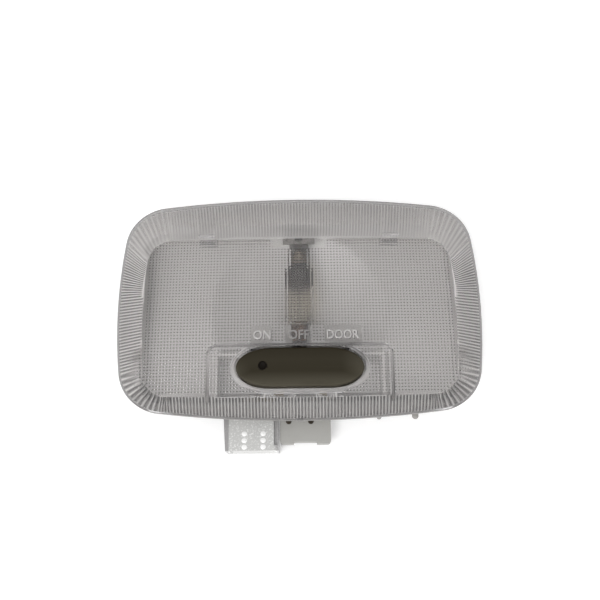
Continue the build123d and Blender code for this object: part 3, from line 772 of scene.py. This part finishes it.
@dataclass
class LensCover:
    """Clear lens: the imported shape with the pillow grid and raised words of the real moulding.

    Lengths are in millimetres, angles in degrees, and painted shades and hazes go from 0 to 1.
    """

    node: Object
    finish: ClearPlastic
    crown_height: float = 10.5
    crown_y: float = -20.0
    crown_radius_x: float = 1500.0
    crown_radius_y: float = 450.0
    wall: float = 2.2
    panel: RoundedBox = RoundedBox(62.4, 26.9, -38.3, 10.0)
    near_panel: RoundedBox = RoundedBox(64.0, 31.0, -38.3, 12.0)
    inside_rim: RoundedBox = RoundedBox(70.5, 42.0, -43.5, 16.0)
    pitch: float = PILLOW_PITCH
    pillow_radius: float = 2.4
    root: float = 0.8
    cell_faces: int = 3
    collar_half_length: float = 27.6
    collar_half_width: float = 9.9
    collar_end: float = 16.0
    collar_ring: Span = (0.94, 0.86)
    window_half_width: float = 11.4
    window_bottom: float = 22.4
    letter_extrude: float = 0.1
    letter_bevel: float = 0.04
    letter_steps: int = 3
    letter_weld: float = 1e-4
    letter_height: float = 0.3
    letter_root: float = 0.5
    letter_clear: float = 0.05
    bevel_tilt: float = 0.25
    hook_x: float = 38.5
    hook_y: Span = (26.0, 32.0)
    hook_half_width: float = 3.6
    hook_top: float = 3.0
    side_slope: float = 0.5
    wall_slope: float = -0.3
    flank_slopes: Span = (-0.96, -0.4)
    seat_height: float = 0.05
    rib_bottom: float = 0.3
    soft_angle: float = 16.0
    crease_angle: float = 4.0
    groove_angle: float = 6.0
    rib_climb: float = 0.2
    flank_twist: float = 5.0
    # Painted shade at the hooks, in the grid's dots, on the rim's seat and on the ribs' grooves and
    # flanks.
    hook_shade: float = 0.3
    dot_shade: float = 0.93
    full_dot_shade: float = 1.0
    seat_shade: float = 0.55
    rib_shade: float = 0.8
    upper_shade: float = 0.12
    lower_shade: float = 0.32
    side_fade: Span = (12.0, 26.9)
    top_fade: Span = (40.0, 54.0)
    upper_contrast: float = 0.6
    corner_contrast: float = 0.32
    lower_contrast: float = 1.05
    panel_haze: float = 0.1
    lower_haze: float = 0.24
    haze_fade: Span = (0.0, 20.0)
    bulb_haze: float = 0.03
    bulb_fade: Span = (7.0, 16.0)
    bulb_bottom: float = -11.0
    window_haze: float = 0.04
    crease_haze: float = 0.5
    rim_haze: float = 0.7
    collar_haze: float = 0.4
    rib_haze: float = 0.32
    band_haze: float = 0.16
    # Painted highlight on rib crests, and painted shade in their grooves.
    crest_highlight_haze: float = 0.95
    groove_shade_share: float = 0.3
    patch_haze: float = 0.04

    def crown(self, x: float, y: float) -> float:
        """Height of the lens's outer face over a point.

        Args:
            x: Place across, in millimetres.
            y: Place along, in millimetres.

        Returns:
            The height in millimetres.
        """
        bulge = math.sqrt(self.crown_radius_x**2 - x**2)
        section = self.crown_radius_y - self.crown_radius_x + bulge
        rise = math.sqrt(section**2 - (y - self.crown_y) ** 2)
        return self.crown_height - self.crown_radius_y + rise

    def in_collar(self, x: float, y: float) -> bool:
        """Tell whether a point lies in or near the switch's collar.

        Args:
            x: Place across, in millimetres.
            y: Place along, in millimetres.

        Returns:
            Whether it does.
        """
        over = max(0.0, abs(x) - (self.collar_half_length - self.collar_end))
        along = (y - SWITCH_Y) / self.collar_half_width
        return (over / self.collar_end) ** 2 + along**2 < 1

    def in_window(self, x: float, y: float) -> bool:
        """Tell whether a point lies in the smooth window over the bulb's upper end."""
        return abs(x) < self.window_half_width and y > self.window_bottom

    def has_pillow(self, x: float, y: float) -> bool:
        """Tell whether the grid has a pillow at a point."""
        smooth = self.in_collar(x, y) or self.in_window(x, y) or word_at(x, y)
        return self.panel.holds(x, y) and not smooth

    def pillow_sag(self, x: float, y: float) -> float:
        """Depth of a pillow at a point, measured from the corners of its cell.

        Args:
            x: Place across, in millimetres.
            y: Place along, in millimetres.

        Returns:
            The depth in millimetres.
        """
        half = self.pitch / 2
        across = (x + half) % self.pitch - half
        along = (y + half) % self.pitch - half
        return (2 * half**2 - across**2 - along**2) / (2 * self.pillow_radius)

    def make_grid(self) -> Object:
        """Model the plate of pillows on the panel's inner face.

        Returns:
            The closed plate.
        """
        half_height = max(self.panel.top, -self.panel.bottom)
        columns = 2 * math.ceil(self.panel.half_width / self.pitch) + 1
        rows = 2 * math.ceil(half_height / self.pitch) + 1
        Bench.clear()
        bpy.ops.mesh.primitive_grid_add(
            x_subdivisions=columns * self.cell_faces, y_subdivisions=rows * self.cell_faces, size=2)
        grid = Bench.named("pillow_grid")
        grid.scale = (columns * self.pitch / 2, rows * self.pitch / 2, 1)
        bpy.ops.object.transform_apply()

        def is_bare(middle: Vector, _: Vector) -> bool:
            """Tell whether a face's cell has no pillow."""
            x, y = (round(value / self.pitch) * self.pitch for value in middle.xy)
            return not self.has_pillow(x, y)

        Bench.pick(grid, is_bare)
        bpy.ops.mesh.delete(type="FACE")
        bpy.ops.mesh.select_all(action="SELECT")
        bpy.ops.mesh.extrude_region_move(TRANSFORM_OT_translate={"value": (0, 0, self.root)})
        bpy.ops.mesh.select_all(action="SELECT")
        bpy.ops.mesh.normals_make_consistent(inside=False)
        Bench.clear()
        for vertex in grid.data.vertices:
            x, y, z = vertex.co
            vertex.co.z = z + self.crown(x, y) - self.wall - self.pillow_sag(x, y)
        Bench.settle(grid)
        return grid

    def make_word(self, word: Word) -> Object:
        """Model one raised word on the panel's inner face.

        Args:
            word: The word and its place.

        Returns:
            The closed letters.
        """
        Bench.clear()
        bpy.ops.object.text_add()
        letters = Bench.named("letters")
        letters.data.body = word.text
        letters.data.extrude = self.letter_extrude
        letters.data.bevel_depth = self.letter_bevel
        letters.data.bevel_resolution = 0
        letters.data.resolution_u = self.letter_steps
        bpy.ops.object.convert(target="MESH")
        letters = bpy.context.object
        Bench.weld(letters, self.letter_weld)
        points = [vertex.co for vertex in letters.data.vertices]
        low = [min(point[axis] for point in points) for axis in range(3)]
        high = [max(point[axis] for point in points) for axis in range(3)]
        for point in points:
            share = [(point[axis] - low[axis]) / (high[axis] - low[axis]) for axis in range(3)]
            x = word.letters_x[0] + share[0] * (word.letters_x[1] - word.letters_x[0])
            y = word.letters_y[0] + share[1] * (word.letters_y[1] - word.letters_y[0])
            depth = self.letter_root - (1 - share[2]) * (self.letter_root + self.letter_height)
            point.xyz = Vector((x, y, self.crown(x, y) - self.wall + depth)) * MM
        return letters

    def rib_contrast(self, x: float, y: float) -> float:
        """Share of a rib's light and shade that shows: most at the sides, least in the corners.

        Args:
            x: Place across, in millimetres.
            y: Place along, in millimetres.

        Returns:
            The share, where 1 is all of it.
        """
        if y < 0:
            return 1.0 if abs(x) > self.panel.half_width else self.lower_contrast
        if y < self.panel.top and abs(x) > self.panel.half_width - self.panel.corner:
            return between(y, self.side_fade, 1.0, self.corner_contrast)
        return between(abs(x), self.top_fade, self.upper_contrast, self.corner_contrast)

    def on_rim(self, point: Vector, normal: Vector) -> bool:
        """Tell whether a face's corner lies on the rim's outer wall or its seat.

        Args:
            point: The corner, in millimetres.
            normal: The face's normal.

        Returns:
            Whether it does.
        """
        if normal.z >= self.side_slope or self.inside_rim.holds(point.x, point.y):
            return False
        return point.z < self.seat_height or normal.z > self.wall_slope

    def shade_at(self, point: Vector, normal: Vector, in_groove: bool) -> float:
        """Painted shade at one corner of a face of the lens.

        Args:
            point: The corner, in millimetres.
            normal: The face's normal.
            in_groove: Whether the corner lies in a rib's groove.

        Returns:
            The painted shade, from 0 to 1.
        """
        x, y, z = point
        beside = abs(abs(x) - self.hook_x) < self.hook_half_width
        if beside and z < self.hook_top and inside(y, self.hook_y):
            return self.hook_shade
        # Painted shade on the letters' lower right bevels.
        if word_at(x, y):
            return 1.0 if normal.x - normal.y > self.bevel_tilt else 0.0
        if self.on_rim(point, normal):
            return self.seat_shade
        if normal.z > -self.side_slope or self.panel.holds(x, y):
            return 0.0
        if in_groove:
            return self.rib_shade * self.rib_contrast(x, y)
        if y < self.panel.bottom:
            return self.lower_shade
        return self.upper_shade if y > self.panel.top and abs(x) < self.top_fade[1] else 0.0

    def dots_at(self, point: Vector, normal: Vector) -> float:
        """Strength of the grid's dark dots, a painted shade, at one corner of a face of the lens.

        Args:
            point: The corner, in millimetres.
            normal: The face's normal.

        Returns:
            The strength, from 0 to 1, which is full over the bulb and in a ring round the collar.
        """
        x, y, _ = point
        if normal.z > -self.side_slope or not self.has_pillow(x, y):
            return 0.0
        across, along = self.collar_ring
        if self.in_collar(x * across, SWITCH_Y + (y - SWITCH_Y) * along):
            return self.full_dot_shade
        return between(abs(x), self.bulb_fade, self.full_dot_shade, self.dot_shade)

    def haze_at(self, point: Vector, normal: Vector, on_crest: bool) -> float:
        """Haze at one corner of a face of the lens.

        Args:
            point: The corner, in millimetres.
            normal: The face's normal.
            on_crest: Whether the corner lies on a rib's crest.

        Returns:
            The share of matt surface, from 0 to 1.
        """
        x, y, z = point
        if self.on_rim(point, normal):
            return self.rim_haze
        if normal.z > -self.side_slope:
            return 0.0
        word = word_at(x, y)
        if word:
            raised = z < self.crown(x, y) - self.wall - self.letter_clear
            return word.haze if raised else self.patch_haze
        if self.in_collar(x, y):
            return self.collar_haze
        if self.panel.holds(x, y):
            if self.in_window(x, y):
                return self.window_haze
            haze = between(-y, self.haze_fade, self.panel_haze, self.lower_haze)
            if y > self.bulb_bottom:
                haze = between(abs(x), self.bulb_fade, self.bulb_haze, haze)
            return haze
        if y > self.panel.top - self.panel.corner and self.near_panel.holds(x, y):
            return self.crease_haze
        # The haze is raised on rib crests as a painted highlight and lowered in grooves as painted
        # shade.
        haze = self.rib_haze if abs(x) > self.panel.half_width else self.band_haze
        lift = self.rib_contrast(x, y) * (self.crest_highlight_haze - haze)
        return haze + (lift if on_crest else -self.groove_shade_share * lift)

    def clean_ribs(self, lens: Object) -> None:
        """Take the loose points out of the ribs' flanks, so that each runs from crest to groove.

        Args:
            lens: The lens to work on.
        """

        def is_flank(middle: Vector, normal: Vector) -> bool:
            """Tell whether a face belongs to a rib's flank."""
            slanted = inside(normal.z, self.flank_slopes) and middle.z > self.rib_bottom * MM
            return slanted and not self.panel.holds(middle.x / MM, middle.y / MM)

        Bench.pick(lens, is_flank)
        bpy.ops.mesh.dissolve_limited(angle_limit=math.radians(self.flank_twist))
        Bench.clear()

    def mark_faces(self, lens: Object) -> None:
        """Keep the outer creases crisp, and note painted shade, the dots' painted shade and haze in
        attributes.

        Args:
            lens: The lens to work on.
        """
        work = bmesh.new()
        work.from_mesh(lens.data)
        grooves = set()
        crests = set()
        for edge in work.edges:
            angle = math.degrees(edge.calc_face_angle_signed())
            slopes = [face.normal.z for face in edge.link_faces]
            if abs(angle) > self.crease_angle and min(slopes) > self.side_slope:
                edge.smooth = False
            along = edge.verts[1].co - edge.verts[0].co
            climbs = abs(along.z) > self.rib_climb * along.length
            if climbs and abs(angle) > self.groove_angle and max(slopes) < -self.side_slope:
                (grooves if angle < 0 else crests).update(edge.verts)
        painted_shade, dots, haze = (work.loops.layers.float.new(name) for name in ("painted_shade", "dots", "haze"))
        for face in work.faces:
            for loop in face.loops:
                point = loop.vert.co / MM
                loop[painted_shade] = self.shade_at(point, face.normal, loop.vert in grooves)
                loop[dots] = self.dots_at(point, face.normal)
                loop[haze] = self.haze_at(point, face.normal, loop.vert in crests)
        work.to_mesh(lens.data)
        work.free()

    def build(self) -> None:
        """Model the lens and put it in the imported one's place."""
        lens = Bench.copy_of(self.node, "lens_cover")
        Bench.unite(lens, self.make_grid())
        for word in WORDS:
            Bench.unite(lens, self.make_word(word))
        self.clean_ribs(lens)
        Bench.smooth(lens, self.soft_angle)
        self.mark_faces(lens)
        Bench.fit(lens, "lens", Body.LAMP, "clear_plastic", self.finish.make())


@dataclass
class RockerCap:
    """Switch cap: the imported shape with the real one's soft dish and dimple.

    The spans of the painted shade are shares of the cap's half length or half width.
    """

    node: Object
    finish: MouldedPlastic
    half_length: float = 25.15
    half_width: float = 7.7
    end: float = 14.0
    top: float = 10.8
    edge: float = 0.75
    sides: int = 96
    drum_bottom: float = -0.99
    plug_inset: float = 0.15
    plug_bottom: float = 8.5
    plug_top: float = 10.6
    dish_depth: float = 1.25
    dish_reach: float = 6.6
    rings: int = 9
    ring_share: float = 0.95
    dimple_place: Span = (-14.7, -27.3)
    dimple_radius: float = 1.75
    dimple_depth: float = 0.9
    dimple_rise: float = 0.1
    dimple_z: Span = (8.0, 9.6)
    # Painted shade in the dish: darker along the back, lighter at the front and the ends.
    front_fade: Span = (0.2, 0.8)
    right_fade: Span = (0.65, 0.95)
    right_lit: float = 0.7
    right_back: float = 0.5
    left_fade: Span = (0.75, 1.0)
    left_lit: float = 0.65
    end_fade: Span = (-0.5, 0.1)
    back_fade: Span = (0.4, 0.9)
    dish_shade: float = 0.83
    soft_angle: float = 24.0

    def on_oval(self, point: Vector, inset: float) -> Span:
        """Point of the cap's outline, moved inwards.

        Args:
            point: A drum's point, which gives the direction from the middle.
            inset: Distance inwards in millimetres.

        Returns:
            The point in millimetres.
        """
        bearing = math.atan2(point.y, point.x) + math.pi / self.sides
        straight = max(0.0, self.half_length - inset - self.end)
        reach = min(self.end, self.half_length - inset)
        side = math.copysign(straight, math.cos(bearing))
        along = (self.half_width - inset) * math.sin(bearing)
        return side + reach * math.cos(bearing), SWITCH_Y + along

    def make_drum(self, name: str) -> Object:
        """Add the drum that the plug and the dish are formed from.

        Args:
            name: The drum's name.

        Returns:
            The drum, one unit in radius and two units high.
        """
        Bench.clear()
        bpy.ops.mesh.primitive_cylinder_add(vertices=self.sides, radius=1, depth=2)
        return Bench.named(name)

    def make_plug(self) -> Object:
        """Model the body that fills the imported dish.

        Returns:
            The closed body.
        """
        plug = self.make_drum("dish_plug")
        for vertex in plug.data.vertices:
            x, y = self.on_oval(vertex.co, self.edge + self.plug_inset)
            vertex.co = (x, y, self.plug_top if vertex.co.z > 0 else self.plug_bottom)
        Bench.settle(plug)
        return plug

    def make_dish(self) -> Object:
        """Model the soft dish as a cutter.

        Returns:
            The closed cutter.
        """
        dish = self.make_drum("dish")
        Bench.pick(dish, lambda middle, _: middle.z < self.drum_bottom)
        for _ in range(self.rings):
            bpy.ops.mesh.inset(thickness=self.ring_share / self.rings, depth=0)
        Bench.clear()
        for vertex in dish.data.vertices:
            inwards = (1 - math.hypot(vertex.co.x, vertex.co.y)) / self.ring_share
            x, y = self.on_oval(vertex.co, self.edge + inwards * self.dish_reach)
            sunk = self.top - self.dish_depth * (1 - (1 - inwards) ** 2)
            vertex.co = (x, y, self.top + CUT_MARGIN if vertex.co.z > 0 else sunk)
        Bench.settle(dish)
        return dish

    def make_dimple(self) -> Object:
        """Model the round dimple as a cutter.

        Returns:
            The closed cutter.
        """
        Bench.clear()
        bpy.ops.mesh.primitive_uv_sphere_add(segments=32, ring_count=16, radius=1)
        dimple = Bench.named("dimple")
        dimple.scale = (self.dimple_radius, self.dimple_radius, self.dimple_depth)
        dimple.location = (*self.dimple_place, self.top - self.dish_depth + self.dimple_rise)
        Bench.settle(dimple)
        return dimple

    def dimple_at(self, point: Vector) -> float:
        """Painted shade in the dimple.

        Args:
            point: The point, in millimetres.

        Returns:
            The painted shade, from 0 to 1.
        """
        x, y = self.dimple_place
        near = math.hypot(point.x - x, point.y - y) < self.dimple_radius
        return float(near and inside(point.z, self.dimple_z))

    def dish_shade_at(self, point: Vector) -> float:
        """Painted shade in the dish: most along the back, least at the front and the ends.

        Args:
            point: The point, in millimetres.

        Returns:
            The painted shade, from 0 to 1.
        """
        up = (point.y - SWITCH_Y) / self.half_width
        side = point.x / self.half_length
        front = between(-up, self.front_fade, 0.0, 1.0)
        right = between(side, self.right_fade, 0.0, self.right_lit)
        right *= between(-up, self.end_fade, self.right_back, 1.0)
        left = between(-side, self.left_fade, 0.0, self.left_lit)
        left *= between(-up, self.end_fade, 0.0, 1.0)
        return between(up, self.back_fade, self.dish_shade, 1.0) * (1.0 - max(front, right, left))

    def build(self) -> None:
        """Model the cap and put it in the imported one's place."""
        cap = Bench.copy_of(self.node, "rocker_cap")
        Bench.unite(cap, self.make_plug())
        Bench.carve(cap, self.make_dish())
        Bench.carve(cap, self.make_dimple())
        Bench.smooth(cap, self.soft_angle)
        # Painted shade in the dimple and across the dish.
        Bench.mark(cap, "light_and_shade", self.dimple_at)
        Bench.mark(cap, "edge", self.dish_shade_at)
        Bench.fit(cap, "rocker", Body.ROCKER, "switch_plastic", self.finish.make())


@dataclass
class SpringCoil:
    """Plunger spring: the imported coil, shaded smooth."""

    node: Object
    finish: SheetMetal
    fixed_end: float = 2.6
    length: float = 2.5
    travel: float = 0.8
    soft_angle: float = 40.0

    def build(self) -> None:
        """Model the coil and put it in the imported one's place."""
        coil = Bench.copy_of(self.node, "spring_coil")
        Bench.smooth(coil, self.soft_angle)
        Bench.fit(coil, "plunger_spring", Body.ROCKER, "spring_steel", self.finish.make())
        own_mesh(coil)


@dataclass
class ShroudSkin:
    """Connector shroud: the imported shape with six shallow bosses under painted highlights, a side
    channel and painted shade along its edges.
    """

    node: Object
    finish: MouldedPlastic
    top: float = -8.0
    boss_columns: tuple[float, ...] = (-22.85, -15.25)
    boss_rows: tuple[float, ...] = (-51.7, -54.4, -57.0)
    boss_radii: Span = (1.5, 1.35)
    boss_height: float = 0.22
    boss_root: float = 0.3
    boss_clear: float = 0.02
    # The socket's inner walls get painted light.
    socket_x: Span = (-29.5, -10.5)
    socket_z: Span = (-20.5, -9.5)
    channel_x: Span = (-10.8, -9.5)
    channel_y: Span = (-56.2, -42.4)
    channel_depth: float = 1.0
    # Painted shade along the left band and the right strip.
    band_x: Span = (-29.4, -28.9)
    band_shade: float = 0.8
    strip_x: float = -11.2
    strip_shade: float = 0.7
    slack: float = 0.1
    soft_angle: float = 12.0

    def make_boss(self, x: float, y: float) -> Object:
        """Model one shallow boss on the upper face.

        Args:
            x: Place across, in millimetres.
            y: Place along, in millimetres.

        Returns:
            The closed boss.
        """
        Bench.clear()
        bpy.ops.mesh.primitive_uv_sphere_add(segments=24, ring_count=12, radius=1)
        boss = Bench.named("boss")
        boss.scale = (*self.boss_radii, self.boss_height + self.boss_root)
        boss.location = (x, y, self.top - self.boss_root)
        Bench.settle(boss)
        return boss

    def make_channel(self) -> Object:
        """Model the shallow channel beside the terminal block as a cutter.

        Returns:
            The closed cutter.
        """
        Bench.clear()
        bpy.ops.mesh.primitive_cube_add(size=1)
        channel = Bench.named("channel")
        heights = (self.top - self.channel_depth, self.top + CUT_MARGIN)
        limits = (self.channel_x, self.channel_y, heights)
        channel.scale = [high - low for low, high in limits]
        channel.location = [(low + high) / 2 for low, high in limits]
        Bench.settle(channel)
        return channel

    def painted_light_at(self, point: Vector) -> float:
        """Painted highlight on the bosses and painted light on the socket's inner walls at a point,
        from 0 to 1.
        """
        in_socket = inside(point.x, self.socket_x) and inside(point.z, self.socket_z)
        return float(in_socket or point.z > self.top + self.boss_clear)

    def side_shade_at(self, point: Vector) -> float:
        """Painted shade of the shroud's left band and right strip.

        Args:
            point: The point, in millimetres.

        Returns:
            The painted shade, from 0 to 1.
        """
        if point.x < self.band_x[0] + self.slack:
            return self.band_shade
        return self.strip_shade if point.x > self.strip_x + self.slack else 0.0

    def build(self) -> None:
        """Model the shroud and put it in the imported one's place."""
        skin = Bench.copy_of(self.node, "shroud_skin")
        for x in self.boss_columns:
            for y in self.boss_rows:
                Bench.unite(skin, self.make_boss(x, y))
        Bench.carve(skin, self.make_channel())
        for x in (*self.band_x, self.strip_x):
            Bench.split(skin, x)
        Bench.smooth(skin, self.soft_angle)
        # Painted highlight on the bosses, painted light in the socket and painted shade along the
        # edges.
        Bench.mark(skin, "light_and_shade", self.painted_light_at)
        Bench.mark(skin, "edge", self.side_shade_at)
        Bench.fit(skin, "connector_shroud", Body.LAMP, "shroud_plastic", self.finish.make())


@dataclass
class Studio:
    """Plain pale floor, soft light and the photograph's camera, in metres and degrees."""

    floor_z: float = -22.0 * MM
    floor_size: float = 6.0
    floor_colour: Colour = (0.9, 0.9, 0.9, 1.0)
    floor_glow: float = 0.3
    distance: float = 0.300
    tilt: float = 16.88
    roll: float = 0.67
    focal: float = 43.36
    sensor: float = 36.0
    shift: Span = (0.00117, 0.00867)
    nearest: float = 0.01
    ambient: float = 0.72
    key_power: float = 3.8
    key_size: float = 0.35
    key_place: Place = (-0.25, -0.45, 0.85)

    def camera(self) -> None:
        """Set the camera."""
        data = bpy.data.cameras.new("camera")
        data.lens = self.focal
        data.sensor_width = self.sensor
        data.shift_x, data.shift_y = self.shift
        data.clip_start = self.nearest
        camera = bpy.data.objects.new("camera", data)
        bpy.context.scene.collection.objects.link(camera)
        tilt = math.radians(self.tilt)
        turn = Matrix.Rotation(tilt, 4, "X") @ Matrix.Rotation(math.radians(-self.roll), 4, "Z")
        back, up = self.distance * math.sin(tilt), self.distance * math.cos(tilt)
        camera.matrix_world = Matrix.Translation((0, -back, up)) @ turn
        bpy.context.scene.camera = camera

    def lights(self) -> None:
        """Set the one square lamp, which faces the object, and the world."""
        data = bpy.data.lights.new("key", "AREA")
        data.energy = self.key_power
        data.size = self.key_size
        lamp = bpy.data.objects.new("key", data)
        bpy.context.scene.collection.objects.link(lamp)
        lamp.location = self.key_place
        lamp.rotation_euler = Vector(self.key_place).to_track_quat("Z", "Y").to_euler()
        world = bpy.data.worlds.new("studio")
        world.use_nodes = True
        bpy.context.scene.world = world
        shader = Shader(world.node_tree)
        strength = self.ambient + (1 - self.ambient) * seen_directly(shader)
        background = shader.node(
            "ShaderNodeBackground", None, {"Color": WHITE, "Strength": strength})
        shader.node("ShaderNodeOutputWorld", None, {"Surface": background})

    def floor(self) -> None:
        """Lay the floor."""
        Bench.clear()
        bpy.ops.mesh.primitive_plane_add(size=self.floor_size, location=(0, 0, self.floor_z))
        floor = Bench.named("floor")
        bpy.ops.object.transform_apply()
        material, shader = Shader.material("floor")
        matt = shader.node("ShaderNodeBsdfDiffuse", None, {"Color": self.floor_colour})
        strength = self.floor_glow * seen_directly(shader)
        glow = shader.node("ShaderNodeEmission", None, {"Color": WHITE, "Strength": strength})
        shader.surface(shader.node("ShaderNodeAddShader", None, {0: matt, 1: glow}))
        Bench.dress(floor, material)

    def build(self) -> None:
        """Set up the whole studio."""
        bpy.context.scene.view_settings.view_transform = "Standard"
        self.camera()
        self.lights()
        self.floor()


# The rim tint and the dark tint are painted shade.
CLEAR_LENS = ClearPlastic(
    "clear_lens",
    tint=(0.97, 0.966, 0.97, 1.0),
    rim_shade_tint=(0.82, 0.815, 0.822, 1.0),
    shade_tint=(0.02, 0.018, 0.017, 1.0),
    haze_colour=paint(232, 229, 227),
)
BULB_GLASS = ScorchedGlass(
    "bulb_glass",
    tint=(0.9, 0.88, 0.83, 1.0),
    smoked_tint=(0.6, 0.57, 0.51, 1.0),
    upper_scorch=paint(26, 17, 10),
    lower_scorch=paint(62, 40, 24),
)
# The second colour is grime and the painted shade of the dish; the mark's colour is the dimple's
# painted shade.
SWITCH_GREY = MouldedPlastic(
    "switch_grey", paint(76, 72, 61), paint(36, 31, 18),
    roughness=0.6, gloss=0.12, mark=paint(10, 5, 1))
# The second colour is grime and the painted shade of the edges; the mark's white is painted highlight
# on the bosses, painted light in the socket and painted glints.
SHROUD_WHITE = MouldedPlastic(
    "shroud_white", paint(198, 198, 196), paint(146, 144, 145),
    dirt_share=0.15, roughness=0.18, grain=0.7, relief=0.1, sparkle=0.45, mark=paint(252, 252, 251))
CARRIER_GREY = MouldedPlastic("carrier_grey", paint(60, 58, 54), paint(38, 34, 28))
HOUSING_WHITE = MouldedPlastic("housing_white", paint(163, 160, 157), paint(141, 135, 129))
BLOCK_GREY = MouldedPlastic("block_grey", paint(174, 173, 169), paint(148, 146, 140))
BRASS = SheetMetal("dull_brass", paint(142, 126, 98), paint(98, 86, 68), roughness=0.42)
DULL_STEEL = SheetMetal("dull_steel", paint(138, 134, 130), paint(96, 92, 87), roughness=0.4)
BURNT = SheetMetal("burnt_brass", paint(74, 54, 40), paint(36, 25, 18), roughness=0.5)
TARNISHED = SheetMetal("tarnished_cap", paint(112, 102, 90), paint(66, 57, 48), roughness=0.5)
SPRING = SheetMetal("spring_steel", paint(140, 140, 140), paint(96, 94, 92))
TUNGSTEN = SheetMetal("dark_tungsten", paint(96, 94, 92), paint(60, 58, 56), roughness=0.5)
RIVET = SheetMetal("dark_rivet", paint(84, 78, 70), paint(46, 40, 34), roughness=0.45)

DRESSED_NODES = {
    BRASS: ("contact_plunger", "rocking_contact", "on_terminal", "door_terminal"),
    CARRIER_GREY: ("switch_carrier",),
    BURNT: ("lower_bulb_contact", "bulb_cap_lower"),
    DULL_STEEL: ("feed_strap",),
    BULB_GLASS: ("bulb_glass",),
    TARNISHED: ("bulb_cap_upper",),
    TUNGSTEN: ("bulb_filament",),
    HOUSING_WHITE: ("housing",),
    BLOCK_GREY: ("terminal_block",),
    RIVET: ("terminal_rivets",),
}


def main() -> None:
    """Load the frame, model and dress every piece, and set up the studio."""
    logging.basicConfig(level=logging.INFO)
    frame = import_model()
    for finish, nodes in DRESSED_NODES.items():
        material = finish.make()
        for node in nodes:
            Bench.dress(frame["nodes"][node], material)
            log.info("dressed %s in %s", node, finish.name)
    LensCover(frame["nodes"]["lens"], CLEAR_LENS).build()
    RockerCap(frame["nodes"]["rocker"], SWITCH_GREY).build()
    SpringCoil(frame["nodes"]["plunger_spring"], SPRING).build()
    ShroudSkin(frame["nodes"]["connector_shroud"], SHROUD_WHITE).build()
    Studio().build()


if __name__ == "__main__":
    main()
